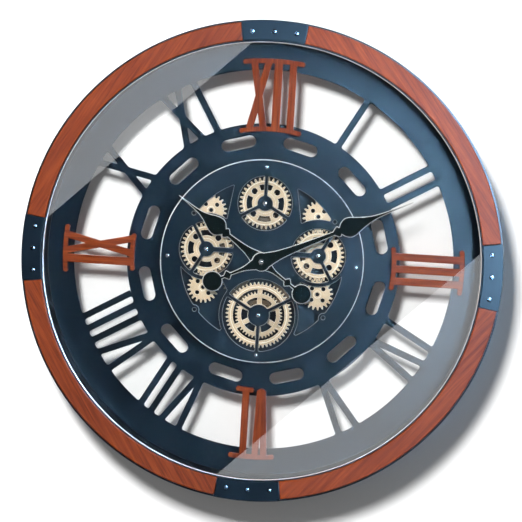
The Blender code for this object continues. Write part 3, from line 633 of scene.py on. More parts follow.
brass = metal("drive_brass", (0.62, 0.42, 0.14), 0.26, 1.0, 0.12)
case_plastic = plastic("case_plastic", (0.012, 0.012, 0.013), 0.42)
wheel_plastic = plastic("wheel_plastic", (0.78, 0.78, 0.74), 0.38)
copper_wire = metal("coil_copper", (0.58, 0.20, 0.07), 0.3, 1.0, 0.15, 120, 0.15, (0.2, 0.2, 30))
green_board = plastic("board_green", (0.012, 0.10, 0.045), 0.35)
glass = glass_material()


def span(node):
    """The y of a CAD node's front and back."""
    low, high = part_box(node)
    return low[1], high[1]


# ------------ rim and glass


def make_hoop():
    """The metal drum, with its flange and inner wall."""
    front, back = span("rim_hoop")
    wood_back = span("rim_wood_upper_left")[1]
    inner = RIM_RADIUS - HOOP_WALL
    flange_front, flange_back = wood_back + GAP, wood_back + GAP + 1.5 * MM
    wall = INNER_WALL_RADIUS + 1.5 * MM
    rear = back - 18 * MM
    edge = 0.6 * MM
    profile = [
        (RIM_RADIUS - edge, front, 0), (RIM_RADIUS - 0.2 * MM, front + 0.2 * MM, 0),
        (RIM_RADIUS, front + edge, 0), (RIM_RADIUS, back - edge, 0), (RIM_RADIUS - edge, back, 0),
        (inner, back, 0), (inner, flange_back, 0), (wall, flange_back, 0), (wall, rear, 0),
        (INNER_WALL_RADIUS, rear, 0), (INNER_WALL_RADIUS, flange_front + edge, 0),
        (INNER_WALL_RADIUS + edge, flange_front, 0), (inner, flange_front, 0), (inner, front, 0),
    ]
    lathe("hoop", profile, [rim_metal], "case", ["rim_hoop"], 256)


def screw_head(name, center, radius, front, back, body, replaced=(), shank=None, steel=None):
    """A domed head with a straight slot, and a shank behind it where one is given."""
    bm = bmesh.new()
    steps = 40
    height = back - front
    half_groove = 0.16 * radius
    floor = front + 0.47 * height
    levels = dome(front, 0.62 * height, radius, 6) + [(radius, back)]
    if shank:
        levels += [(shank[0], back), (shank[0], shank[1])]
    rows = [[bm.verts.new((0.0, front, 0.0))]]
    for distance, y in levels[1:]:
        rows.append([bm.verts.new((a, y, b)) for a, b in circle(distance, steps)])
    for near, far in zip(rows, rows[1:]):
        for i in range(steps):
            j = (i + 1) % steps
            corners = [near[0], far[i], far[j]] if len(near) == 1 else [near[i], near[j], far[j], far[i]]
            bm.faces.new(corners)
    bm.faces.new(rows[-1])
    for side in (-1, 1):
        bmesh.ops.bisect_plane(
            bm, geom=bm.verts[:] + bm.edges[:] + bm.faces[:], dist=1e-7,
            plane_co=(0, 0, side * half_groove), plane_no=(0, 0, 1))
    groove = []
    for face in bm.faces:
        middle = face.calc_center_median()
        if abs(middle.z) < half_groove and middle.y < floor and face.normal.length > 0:
            groove.append(face)
    made = bmesh.ops.extrude_face_region(bm, geom=groove)
    bmesh.ops.delete(bm, geom=groove, context="FACES")
    for part in made["geom"]:
        if isinstance(part, bmesh.types.BMVert):
            part.co.y = max(part.co.y, floor)
    driven_to = center[0] * 37.0 + center[1] * 53.0
    bmesh.ops.rotate(bm, verts=bm.verts, cent=(0, 0, 0), matrix=Matrix.Rotation(driven_to, 3, "Y"))
    bmesh.ops.translate(bm, verts=bm.verts, vec=(center[0], 0.0, center[1]))
    bmesh.ops.recalc_face_normals(bm, faces=bm.faces)
    return finish_mesh(name, bm, [steel or bright_steel], body, replaced)


# Each arc's grain angle in degrees and a painted light factor for its wood tones: lighter on the upper
# right and darker on the lower left, painted light and shade for how the light falls across the rim.
TRIM_GRAIN_AND_PAINTED_LIGHT = {
    "upper_left": (58, 0.85),
    "upper_right": (-54, 1.1),
    "lower_right": (50, 0.95),
    "lower_left": (-58, 0.8),
}


def make_ring_trim():
    """Four wooden arcs, four straps and the three screws of each strap."""
    wood_outer = RIM_RADIUS - HOOP_WALL - 0.1 * MM
    edge = GAP / RING_INNER_RADIUS
    corners = {"top": "upper_left", "right": "upper_right", "bottom": "lower_right", "left": "lower_left"}
    for number, (name, degrees) in enumerate(QUARTERS):
        middle = math.radians(degrees)
        start, end = middle - STRAP_HALF_ANGLE, middle + STRAP_HALF_ANGLE
        screw_front, back = span(f"rim_strap_{name}")
        strap_front = screw_front + 1.2 * MM
        strap_back = strap_front + 0.7 * MM
        wide = ring_sector(RING_INNER_RADIUS, RIM_RADIUS, start, end, 24)
        narrow = ring_sector(RING_INNER_RADIUS, wood_outer, start, end, 24)
        shapes = [
            ([("+", wide)], rounded(strap_front, strap_back, 0.5 * MM, 3)),
            ([("+", narrow)], [(0.2 * MM, strap_back, 0), (0.2 * MM, back, 0)]),
        ]
        plate(f"strap_{name}", shapes, [strap_metal], "case", [f"rim_strap_{name}"])
        for i in (-1, 0, 1):
            center = polar(STRAP_SCREW_RADIUS, middle + i * STRAP_SCREW_STEP)
            screw_head(
                f"strap_screw_{name}_{i + 2}", center, 3.0 * MM, screw_front,
                strap_front + 0.1 * MM, "case", steel=screw_steel)
        place = corners[name]
        start = middle + STRAP_HALF_ANGLE + edge
        end = middle + math.pi / 2 - STRAP_HALF_ANGLE - edge
        front, back = span(f"rim_wood_{place}")
        outline = ring_sector(RING_INNER_RADIUS, wood_outer, start, end, 90)
        grain, painted_light_factor = TRIM_GRAIN_AND_PAINTED_LIGHT[place]
        # The wood tones lightened or darkened by the arc's painted light factor.
        tones = [tint(tone, painted_light_factor) for tone in WOOD_TONES]
        finish = wood(f"trim_wood_{place}", math.radians(grain), tones, 0.37 * number, 1.5)
        shapes = [([("+", outline)], rounded(front, back, 1.1 * MM, 4))]
        plate(f"trim_{place}", shapes, [finish], "case", [f"rim_wood_{place}"])


def make_glass():
    """The flat glass with ground edges, and the bead in front of it."""
    front, back = span("glass_lens")
    edge = RING_INNER_RADIUS - 2 * GAP
    shapes = [([disc(edge, 256)], chamfered(front, back, 0.5 * MM, 0.5 * MM))]
    plate("glass", shapes, [glass], "case", ["glass_lens"])
    front, back = span("glass_bead")
    inner = INNER_WALL_RADIUS - 0.5 * MM
    profile = [
        (edge, back, 0), (edge, front, 0), (inner + 1.1 * MM, front, 1),
        (inner + 0.5 * MM, front + 0.25 * MM, 1), (inner, back - 0.2 * MM, 1), (inner, back, 0),
    ]
    lathe("bead", profile, [rim_metal, bead_metal], "case", ["glass_bead"], 256)


# ------------ dial and numerals


def clock_placed(points, angle):
    """Points drawn with +z outward at twelve, turned clockwise by this angle."""
    return turned_by(points, -angle)


def letter_strokes(text, gap):
    """The strokes of a Roman numeral as (foot, head) pairs across the width, centred on zero."""
    widths = {"I": 0.0, "V": 26 * MM, "X": 24 * MM}
    total = sum(widths[letter] for letter in text) + gap * (len(text) - 1)
    left, strokes = -total / 2, []
    for letter in text:
        right = left + widths[letter]
        middle = (left + right) / 2
        if letter == "I":
            strokes.append((middle, middle))
        if letter == "V":
            strokes += [(middle - 2 * MM, left), (middle + 2 * MM, right)]
        if letter == "X":
            strokes += [(left, right), (right, left)]
        left = right + gap
    return strokes


def make_dial():
    """The dark sheet with its windows, its numeral spokes and its slots."""
    front, back = span("dial_plate")
    steps = [
        disc(INNER_WALL_RADIUS - GAP, 256),
        round_hole(WINDOW_OUTER_RADIUS, 240),
        disc(WINDOW_INNER_RADIUS, 200),
        round_hole(DIAL_HOLE_RADIUS, 160),
    ]
    spokes = {1: "I", 2: "II", 4: "IV", 5: "V", 7: "VII", 8: "VIII", 10: "X", 11: "XI"}
    for hour, text in spokes.items():
        gap = 20 * MM if len(text) == 2 else 16 * MM
        for foot, head in letter_strokes(text, gap):
            low = (foot, WINDOW_INNER_RADIUS - 4 * MM)
            high = (head, WINDOW_OUTER_RADIUS + 4 * MM)
            steps.append(("+", clock_placed(bar(low, high, 8 * MM), math.radians(30 * hour))))
    for i in range(12):
        slot = [(x, z + SLOT_RADIUS) for x, z in rounded_slot(44 * MM, 15 * MM)]
        steps.append(("-", clock_placed(slot, math.radians(15 + 30 * i))))
    shapes = [(steps, chamfered(front, back, 0.25 * MM, 0.2 * MM))]
    plate("dial", shapes, [dial_metal], "case", ["dial_plate"], 3.2 * MM)


def serif(start, end, inner):
    """A slab across the end of a letter, curved with the dial, between two places across it."""
    outer = inner + SERIF_HEIGHT
    middle = (inner + outer) / 2
    low, high = math.pi / 2 - end / middle, math.pi / 2 - start / middle
    tip = 1.6 * MM / middle
    front = arc(outer, low + tip, high - tip, 18)
    back = arc(inner, high - tip, low + tip, 18)
    return front + [polar(middle, high)] + back + [polar(middle, low)]


def letter(strokes, inner_serif, outer_serif):
    """A numeral from strokes of (foot, head, width) across it and two serifs, all in millimetres."""
    foot = APPLIED_INNER + SERIF_HEIGHT / 2
    head = APPLIED_OUTER - SERIF_HEIGHT / 2
    steps = []
    for low, high, width in strokes:
        steps.append(("+", bar((low * MM, foot), (high * MM, head), width * MM)))
    steps.append(("+", serif(inner_serif[0] * MM, inner_serif[1] * MM, APPLIED_INNER)))
    outer_start = APPLIED_OUTER - SERIF_HEIGHT
    steps.append(("+", serif(outer_serif[0] * MM, outer_serif[1] * MM, outer_start)))
    return steps


def make_applied_numerals():
    """Twelve, three, six and nine in wood, laid on the dial."""
    twelve = [(-9, -25, 8.8), (-26.5, -6, 8.8), (6, 6, 10.5), (24.4, 24.4, 9)]
    three = [(-15.4, -15.4, 9.3), (0, 0, 9.3), (15.4, 15.4, 9.3)]
    six = [(-7, -4.5, 8.5), (-10, -15.5, 8.5), (11, 11, 9)]
    nine = [(-12.2, -12.2, 10.4), (-2, 18, 8.7), (17, -2.5, 8.7)]
    apex = circle(5.6 * MM, 32, (-8.5 * MM, APPLIED_INNER + 5.8 * MM))
    letters = {
        "twelve": (0, letter(twelve, (-39.5, 39.5), (-39.5, 39.5))),
        "three": (90, letter(three, (-27.5, 27.5), (-28.7, 28.7))),
        "six": (180, letter(six, (0.6, 24.4), (-29.5, 29.5)) + [("+", apex)]),
        "nine": (270, letter(nine, (-24, 24), (-30.5, 30.5))),
    }
    for number, (name, (degrees, steps)) in enumerate(letters.items()):
        front, back = span(f"numeral_{name}")
        placed = [(sign, clock_placed(loop, math.radians(degrees))) for sign, loop in steps]
        grain = math.pi / 2 - math.radians(degrees)
        finish = wood(f"numeral_wood_{name}", grain, WOOD_TONES, 0.61 * number, 1.3)
        shapes = [(placed, rounded(front, back, 0.8 * MM, 3))]
        plate(f"applied_{name}", shapes, [finish], "case", [f"numeral_{name}"])


# ------------ cover plate, tray and screws


def gear_places():
    """The centres of the gears by name, from the frame's joints."""
    places = {}
    for joint in frame["joints"]:
        name = joint["name"]
        if name.endswith("_gear_turn") and not name.startswith("center"):
            x, _, z = joint["pos_m"]
            places[name[: -len("_gear_turn")]] = (x, z)
    return places


PLACES = gear_places()


def spider(center, opening, hub, arms):
    """A hub disc held by arms across a round opening. Arms are (degrees, mm) pairs."""
    steps = [round_hole(opening, 120, center)]
    for degrees, width in arms:
        steps.append(("+", bar(center, at(opening + 1.5 * MM, degrees, center), width * MM)))
    return steps + [disc(hub, 64, center), axle_bore(center)]


def make_cover():
    """The round plate in front of the gears, its openings edged in bright metal."""
    front, back = span("gear_cover_plate")
    side, bottom = PLACES["right"], PLACES["bottom"]
    upper = arc_degrees(101.5 * MM, 32, 67, 40) + arc_degrees(45.5 * MM, 121, 72, 24, side)
    lower = arc_degrees(101.5 * MM, -62, -8, 50)
    lower += arc_degrees(39 * MM, -38, -120, 36, side)
    lower += arc_degrees(50 * MM, 35, -24, 36, bottom)
    steps = [disc(COVER_RADIUS, 256)]
    steps += [("-", upper), ("-", mirrored(upper)), ("-", lower), ("-", mirrored(lower))]
    for name, opening, hub, arms in (
        ("top", 33.9 * MM, 9.7 * MM, ((90, 4.5), (210, 4.5), (330, 4.5))),
        ("left", 33.9 * MM, 9.7 * MM, ((120, 4.5), (0, 6.5), (240, 4.5))),
        ("right", 33.9 * MM, 9.7 * MM, ((60, 4.5), (180, 6.5), (300, 4.5))),
        ("bottom", 45.4 * MM, 13.6 * MM, ((150, 4.5), (30, 4.5), (270, 4.5))),
    ):
        steps += spider(PLACES[name], opening, hub, arms)
    for degrees in (32, 148, 219, 321):
        tab = at(104 * MM, degrees)
        steps += [disc(6 * MM, 40, tab), round_hole(2.4 * MM, 24, tab)]
    steps += [axle_bore(at(COVER_SCREW_RADIUS, degrees)) for _, degrees in QUARTERS]
    steps.append(round_hole(4.2 * MM, 48))
    shapes = [(steps, chamfered(front, back, 0.55 * MM, 0.2 * MM, 1))]
    materials = [cover_metal, line_metal]
    plate("cover_plate", shapes, materials, "case", ["gear_cover_plate"], 1.6 * MM)
    profile = [
        (COVER_RADIUS - 1.5 * MM, front + 0.3 * MM, 0),
        (COVER_RADIUS - 1.1 * MM, front - 0.15 * MM, 0),
        (COVER_RADIUS - 0.5 * MM, front - 0.2 * MM, 0), (COVER_RADIUS, front + 0.4 * MM, 0),
        (COVER_RADIUS, back - 0.2 * MM, 0), (COVER_RADIUS - 1.5 * MM, back - 0.2 * MM, 0),
    ]
    lathe("cover_edge", profile, [edge_metal], "case", [], 256)


def make_tray():
    """The drum behind the cover, with its pillars, bosses and posts."""
    front, back = span("gear_tray")
    floor_front, floor_back = back - 5.7 * MM, back - 4.2 * MM
    wall = [disc(TRAY_RADIUS, 200), round_hole(TRAY_RADIUS - 2.5 * MM, 200)]
    floor = [
        disc(TRAY_RADIUS, 200),
        round_hole(4.6 * MM, 32),
        round_hole(2.6 * MM, 24, PLACES["motor"]),
    ]
    shapes = [
        (wall, chamfered(front, back, 0.4 * MM, 0.4 * MM)),
        (floor, [(0.0, floor_front, 0), (0.0, floor_back, 0)]),
    ]
    for _, degrees in QUARTERS:
        pillar = disc(5.5 * MM, 40, at(COVER_SCREW_RADIUS, degrees))
        shapes.append(([pillar], chamfered(front, floor_front, 0.4 * MM)))
    wheel_front, wheel_back = span("gear_upper_left")
    boss_front = span("motor_pinion")[0] + 4.5 * MM
    for name, center in PLACES.items():
        if name == "motor":
            continue
        small = "_" in name
        post_front = wheel_back + 0.5 * MM if small else boss_front
        shapes.append(([disc(4.5 * MM, 40, center)], chamfered(post_front, floor_front, 0.3 * MM)))
        if small:
            pin = disc(2.4 * MM, 32, center)
            shapes.append(([pin], chamfered(wheel_front, floor_front, 0.4 * MM)))
    plate("tray", shapes, [tray_metal], "case", ["gear_tray"])


def make_screws():
    """The cover screws, and the four screws that carry the large gears."""
    for name, degrees in QUARTERS:
        for kind, radius, shank, center in (
            ("cover", 2.5 * MM, 1.4 * MM, at(COVER_SCREW_RADIUS, degrees)),
            ("axle", 2.8 * MM, AXLE_RADIUS, PLACES[name]),
        ):
            node = f"{kind}_screw_{name}"
            front, back = span(node)
            screw_head(
                f"{node}_head", center, radius, front, front + 1.7 * MM, "case", [node], (shank, back))


# ------------ display gears


def toothed(front, back):
    """The levels of a flat wheel, with a painted highlight on the chamfer round its front edge."""
    return chamfered(front, back, 0.22 * MM, 0.15 * MM, 1)


def light_holes(center):
    """Four round holes and four curved slots through the web of a large wheel."""
    steps = []
    for i in range(4):
        steps.append(round_hole(3.9 * MM, 32, at(20 * MM, 45 + 90 * i, center)))
        start, end = math.radians(90 * i - 22), math.radians(90 * i + 22)
        steps.append(("-", ring_sector(16.5 * MM, 23.6 * MM, start, end, 16, center)))
    return steps


def pinion_shapes(node, teeth, center, phase, reach):
    """The hub and the pinion behind a display wheel."""
    back = span(node)[1]
    hub = [disc(6.5 * MM, 40, center), axle_bore(center)]
    pinion = [("+", gear_outline(teeth, center, phase)), axle_bore(center)]
    return [
        (hub, [(0.0, reach, 0), (0.0, back - PINION_DEPTH, 0)]),
        (pinion, chamfered(back - PINION_DEPTH, back, 0.3 * MM, 0.3 * MM)),
    ]


def make_large_wheels():
    """The top, left and right wheels with their pinions."""
    for name in ("top", "left", "right"):
        center = PLACES[name]
        phase = meshed_phase(CENTER_TEETH, bearing(center), PINIONS[name])
        front = span(f"gear_{name}")[0]
        wheel_back = front + WHEEL_DEPTH
        steps = [("+", gear_outline(WHEEL_TEETH, center)), *light_holes(center), axle_bore(center)]
        raised = [disc(13 * MM, 64, center), round_hole(8 * MM, 48, center)]
        rim = [disc(27.6 * MM, 96, center), round_hole(26.5 * MM, 96, center)]
        # The front chamfers of the wheel, the raised hub ring and the rim take the painted highlight of
        # the gear edge material.
        shapes = [
            (steps, toothed(front + 0.5 * MM, wheel_back)),
            (raised, chamfered(front + 0.1 * MM, wheel_back - 1 * MM, 0.3 * MM, 0.0, 1)),
            (rim, chamfered(front, wheel_back - 1 * MM, 0.45 * MM, 0.0, 1)),
        ]
        shapes += pinion_shapes(f"gear_{name}", PINIONS[name], center, phase, wheel_back)
        plate(f"wheel_{name}", shapes, cream, f"{name}_gear", [f"gear_{name}"])


def make_bottom_gears():
    """The toothed ring on three spokes, and the smaller wheel in front of the spokes."""
    center = PLACES["bottom"]
    front = span("gear_bottom")[0]
    wheel_back = front + WHEEL_DEPTH
    spoke_front = wheel_back - 1.6 * MM
    teeth = gear_outline(50, center, module=1.6 * MM)
    ring = [("+", teeth), round_hole(32.5 * MM, 120, center)]
    ends = [at(34 * MM, degrees, center) for degrees in (90, 210, 330)]
    spokes = [("+", bar(center, end, 6 * MM)) for end in ends] + [axle_bore(center)]
    line = [disc(35.9 * MM, 120, center), round_hole(34.8 * MM, 120, center)]
    # The front chamfers of the toothed ring, the thin line ring and the spokes take the painted highlight
    # of the gear edge material.
    shapes = [
        (ring, toothed(front, wheel_back)),
        (line, chamfered(front - 0.5 * MM, front - 0.01 * MM, 0.45 * MM, 0.0, 1)),
        (spokes, chamfered(spoke_front, wheel_back, 0.3 * MM, 0.0, 1)),
    ]
    phase = meshed_phase(CENTER_TEETH, -math.pi / 2, PINIONS["bottom"])
    shapes += pinion_shapes("gear_bottom", PINIONS["bottom"], center, phase, spoke_front)
    plate("wheel_bottom", shapes, cream, "bottom_gear", ["gear_bottom"])
    front, back = span("gear_bottom_inner")
    inner = [("+", gear_outline(42, center, module=1.35 * MM))]
    for i in range(3):
        start, end = math.radians(42 + 120 * i), math.radians(138 + 120 * i)
        inner.append(("-", ring_sector(14 * MM, 22 * MM, start, end, 32, center)))
    inner.append(axle_bore(center))
    shapes = [(inner, toothed(front, back))]
    plate("wheel_bottom_inner", shapes, cream, "bottom_gear", ["gear_bottom_inner"])


def make_small_gears():
    """The four small gears with their four holes."""
    for side in ("right", "left"):
        for row in ("upper", "lower"):
            name = f"{row}_{side}"
            center = PLACES[name]
            phase = meshed_phase(WHEEL_TEETH, bearing(center, PLACES[side]), SMALL_TEETH)
            front, back = span(f"gear_{name}")
            steps = [("+", gear_outline(SMALL_TEETH, center, phase))]
            holes = [at(10 * MM, 45 + 90 * i, center) for i in range(4)]
            steps += [round_hole(2.8 * MM, 32, hole) for hole in holes]
            steps.append(round_hole(2.7 * MM, 32, center))
            rings = [disc(5.2 * MM, 48, center), round_hole(4.1 * MM, 40, center)]
            # The front chamfers of the teeth and of the hub ring take the painted highlight of the gear
            # edge material.
            shapes = [
                (steps, toothed(front, back)),
                (rings, chamfered(front - 0.5 * MM, front - 0.01 * MM, 0.4 * MM, 0.0, 1)),
            ]
            plate(f"wheel_{name}", shapes, cream, f"{name}_gear", [f"gear_{name}"])


def make_driving_gears():
    """The hidden centre wheel, its cream darkened as painted shade, and the motor pinion."""
    front, back = span("gear_center")
    steps = [("+", gear_outline(CENTER_TEETH)), round_hole(50 * MM, 120), disc(9 * MM, 48)]
    for i in range(5):
        steps.append(("+", bar(ORIGIN, at(51 * MM, 18 + 72 * i), 7 * MM)))
    steps.append(round_hole(4.3 * MM, 48))
    # The dark cream of the centre wheel is painted shade, with a painted highlight on its front chamfers.
    shapes = [(steps, chamfered(front, back, 0.3 * MM, 0.3 * MM, 1))]
    plate("wheel_center", shapes, painted_shade_cream, "center_gear", ["gear_center"])
    center = PLACES["motor"]
    front, back = span("motor_pinion")
    teeth_back = front + PINION_DEPTH
    phase = meshed_phase(CENTER_TEETH, bearing(center), MOTOR_TEETH)
    teeth = [("+", gear_outline(MOTOR_TEETH, center, phase))]
    shapes = [
        (teeth, chamfered(front, teeth_back, 0.3 * MM, 0.3 * MM)),
        ([disc(2.2 * MM, 32, center)], [(0.0, teeth_back, 0), (0.0, back, 0)]),
    ]
    plate("drive_pinion", shapes, [brass], "motor_gear", ["motor_pinion"])


# ------------ hands


def smooth_through(points, steps=6):
    """A smooth curve through the points."""
    ends = [points[0]] + list(points) + [points[-1]]
    made = []
    for a, b, c, d in zip(ends, ends[1:], ends[2:], ends[3:]):
        for i in range(steps):
            t = i / steps
            made.append(tuple(
                0.5 * (2 * q + (r - p) * t + (2 * p - 5 * q + 4 * r - s) * t**2
                       + (3 * q - p - 3 * r + s) * t**3)
                for p, q, r, s in zip(a, b, c, d)))
    return made + [points[-1]]


def hand(name, sections, hub, tail, bore, angle, body, node):
    """A hand drawn towards twelve from the sections of its right side in millimetres, tail first."""
    front, back = span(node)
    side = []
    for section in sections:
        side += smooth_through(section)
    points = [(x * MM, z * MM) for x, z in side]
    outline = points + [(-x, z) for x, z in reversed(points)]
    loops = [("+", outline), disc(hub, 72), disc(tail[1], 72, (0.0, -tail[0]))]
    steps = [(sign, clock_placed(loop, angle)) for sign, loop in loops]
    steps.append(round_hole(bore, 40))
    profile = [(0.85 * MM, front, 1), (0.0, front + 0.6 * MM, 0), (0.0, back, 0)]
    plate(name, [(steps, profile)], [hand_black, hand_edge], body, [node])


def make_hands():
    """The minute hand, the hour hand below it and the nut on the minute arbor."""
    sections = [
        [(2.4, -60), (2.0, -50)],
        [(2.0, -50), (4.4, -47.6), (6.3, -45), (4.4, -42.8), (2.0, -41)],
        [(2.0, -41), (3.0, -24), (7.0, -10)],
        [(9.5, 8), (6.2, 24), (4.3, 48), (3.2, 78), (2.7, 97)],
        [(2.7, 97), (5.2, 99.8), (7.0, 103), (6.3, 104.9), (5.0, 106)],
        [(5.0, 106), (9.5, 110), (12.3, 115), (12.7, 119), (11.8, 123.5), (10.0, 128), (5.2, 142),
         (2.2, 159), (0.5, 203)],
    ]
    hand("hand_minute", sections, 12 * MM, (65.9 * MM, 12.7 * MM), AXLE_RADIUS + GAP, MINUTE_ANGLE,
         "minute", "minute_hand")
    sections = [
        [(2.4, -58), (2.0, -46)],
        [(2.0, -46), (4.4, -43.6), (6.2, -41), (4.4, -38.8), (2.0, -37)],
        [(2.0, -37), (3.0, -20), (7.0, -9)],
        [(9.5, 8), (5.6, 22), (3.6, 38), (2.7, 52)],
        [(2.7, 52), (5.2, 54.4), (7.0, 57), (6.3, 58.9), (5.0, 60)],
        [(5.0, 60), (9.5, 64), (11.8, 68.5), (12.0, 72), (11.1, 76), (9.6, 80), (4.8, 91),
         (2.2, 103), (0.5, 132)],
    ]
    hand("hand_hour", sections, 12 * MM, (64.1 * MM, 12.3 * MM), 2.8 * MM, HOUR_ANGLE, "hour",
         "hour_hand")
    front, back = span("hand_nut")
    profile = [(radius, y, 0) for radius, y in dome(front, 2.2 * MM, 3.2 * MM, 8)]
    profile += [
        (3.2 * MM, back, 0), (AXLE_RADIUS + GAP, back, 0), (AXLE_RADIUS + GAP, front + 2.2 * MM, 0),
        (0.0, front + 2.2 * MM, 0),
    ]
    lathe("cap_nut", profile, [bright_steel], "minute", ["hand_nut"], 48)


# ------------ behind the dial


def cell_material(name, band_end):
    """The printed jacket of a cell: dark, with a copper band at one end."""
    made = Shader(name)
    place = made.node("ShaderNodeTexCoord").outputs["Object"]
    along = made.node("ShaderNodeSeparateXYZ", Vector=place).outputs["X"]
    band = made.spread(along, 0.0, 1.0, 0.0, band_end)
    tone = made.ramp(band, [(0.49, (0.01, 0.01, 0.012)), (0.51, (0.50, 0.22, 0.05))])
    fine = made.noise(made.coordinates(), 600, 3)
    made.bump(fine, 0.01 * MM, 0.4)
    return made.principled(Base_Color=tone, Roughness=made.spread(fine, 0.22, 0.34), Metallic=0.4)


def make_cell(name, node, facing, finish):
    """A round cell along X with its contact pin."""
    low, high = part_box(node)
    radius = (high[1] - low[1]) / 2
    center = ((low[1] + high[1]) / 2, (low[2] + high[2]) / 2)
    middle, half = (low[0] + high[0]) / 2, (high[0] - low[0]) / 2
    points = [
        (0.0, -half, 1), (radius - 1.6 * MM, -half, 1), (radius - 1.6 * MM, 0.4 * MM - half, 0),
        (radius - 0.5 * MM, 0.4 * MM - half, 0), (radius, 1.0 * MM - half, 0),
        (radius, half - 2.4 * MM, 0), (radius - 0.6 * MM, half - 1.8 * MM, 0),
        (radius - 1.8 * MM, half - 1.8 * MM, 1), (2.7 * MM, half - 1.5 * MM, 1),
        (2.7 * MM, half - 0.3 * MM, 1), (2.3 * MM, half, 1), (0.0, half, 1),
    ]
    profile = [(r, middle + facing * along, material) for r, along, material in points]
    lathe(name, profile, [finish, bright_steel], "case", [node], 64, center, "X")


def make_motor():
    """The can of the geared motor with its end cap."""
    front, back = span("gear_motor")
    step = front + 13.9 * MM
    edge = 0.5 * MM
    profile = [
        (0.0, front, 0), (12 * MM - edge, front, 0), (12 * MM, front + edge, 0),
        (12 * MM, step - edge, 0), (12 * MM - edge, step, 0), (10 * MM, step, 0),
        (10 * MM, back - 1.2 * MM, 0), (9 * MM, back - 0.3 * MM, 1), (8.2 * MM, back - 0.3 * MM, 1),
        (4 * MM, back - 0.3 * MM, 0), (3.2 * MM, back, 0), (0.0, back, 0),
    ]
    finishes = [plate_steel, case_plastic]
    lathe("motor_can", profile, finishes, "case", ["gear_motor"], 72, PLACES["motor"])


def make_knob():
    """The set knob with its fluted edge."""
    front, back = span("set_knob")
    low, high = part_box("set_knob")
    center = ((low[0] + high[0]) / 2, (low[2] + high[2]) / 2)
    outline = []
    for i in range(96):
        turn = 2 * math.pi * i / 96
        outline.append(polar(5.75 * MM + 0.22 * MM * math.cos(16 * turn), turn, center))
    recess = [disc(3.4 * MM, 48, center)]
    shapes = [
        ([("+", outline)], chamfered(front, back, 0.3 * MM, 0.7 * MM)),
        (recess, [(0.0, back - 0.5 * MM, 0), (0.3 * MM, back, 0)]),
    ]
    plate("knob", shapes, [wheel_plastic], "minute_wheel", ["set_knob"])


def make_back():
    """The cells, the motor and the knob, and finishes for the CAD pieces that stay as they are."""
    to_right = cell_material("cell_jacket_a", 20 * MM)
    to_left = cell_material("cell_jacket_b", -20 * MM)
    make_cell("cell_motion", "movement_cell", -1, to_left)
    make_cell("cell_gear_upper", "gear_cell_upper", 1, to_right)
    make_cell("cell_gear_lower", "gear_cell_lower", 1, to_right)
    make_motor()
    make_knob()
    finishes = {
        "hanger_plate": (plate_steel, 0.4),
        "gear_battery_box": (case_plastic, 0.5),
        "gear_battery_door": (case_plastic, 0.4),
        "gear_switch": (wheel_plastic, 0.4),
        "movement_case": (case_plastic, 0.5),
        "movement_cover": (case_plastic, 0.3),
        "movement_nut": (brass, 0.3),
        "circuit_board": (green_board, 0.1),
        "stepper_coil": (copper_wire, 0.8),
        "minute_arbor": (brass, 0.1),
        "minute_wheel": (wheel_plastic, 0.1),
        "hour_wheel": (wheel_plastic, 0.1),
    }
    for name, (material, width) in finishes.items():
        node = NODES[name]
        node.data.materials.clear()
        node.data.materials.append(material)
        soften(node, width * MM)


# ------------ stage, light and camera


def staged_face(name, corners, material):
    """One flat face of the stage."""
    bm = bmesh.new()
    bm.faces.new([bm.verts.new(corner) for corner in corners])
    mesh = bpy.data.meshes.new(name)
    bm.to_mesh(mesh)
    bm.free()
    mesh.materials.append(material)
    obj = bpy.data.objects.new(name, mesh)
    bpy.context.scene.collection.objects.link(obj)
    return obj


def hide_from(obj, *rays):
    """Keeps an object out of these kinds of rays."""
    for ray in rays:
        setattr(obj, f"visible_{ray}", False)


def matt(name, color):
    """The shader of a plain matt surface."""
    made = Shader(name)
    tone = made.clouded(made.noise(made.coordinates(), 1.2, 2), color, 0.015)
    made.principled(Base_Color=tone, Roughness=0.9, Specular_IOR_Level=0.0)
    return made


def make_wall_and_floor():
    """A wall that can be looked through from behind, and a pale floor."""
    made = matt("wall", (0.86, 0.86, 0.86))
    side = made.node("ShaderNodeNewGeometry").outputs["Backfacing"]
    clear = made.node("ShaderNodeBsdfTransparent").outputs[0]
    finish = made.surface(made.mix_shaders(side, made.shader.outputs[0], clear))
    y = cad_bounds[1][1] + 0.5 * MM
    wall = staged_face("wall", [(-6, y, FLOOR), (6, y, FLOOR), (6, y, 4), (-6, y, 4)], finish)
    hide_from(wall, "diffuse", "glossy", "shadow")
    finish = matt("floor", (0.80, 0.80, 0.79)).material
    corners = [(-8, -8, FLOOR), (8, -8, FLOOR), (8, 8, FLOOR), (-8, 8, FLOOR)]
    hide_from(staged_face("floor", corners, finish), "diffuse", "glossy")


def area_light(name, place, size, power, color=(1, 1, 1), target=(0, 0, 0)):
    """A square area light turned to its target."""
    data = bpy.data.lights.new(name, "AREA")
    data.energy = power
    data.color = color
    data.size = size
    obj = bpy.data.objects.new(name, data)
    obj.location = place
    obj.rotation_euler = (Vector(target) - Vector(place)).to_track_quat("-Z", "Y").to_euler()
    bpy.context.scene.collection.objects.link(obj)
    return obj


FLOOR = -0.9
GLARE_DEPTH = -4.0
AZIMUTH = math.radians(3.5)
ELEVATION = math.radians(4.5)
DISTANCE = 2.8
ROLL = math.radians(3.4)
SENSOR = 36.0
VIEW_WIDTH = 0.6485
CENTER_DEPTH = -0.030
CENTER_HEIGHT = 0.0017


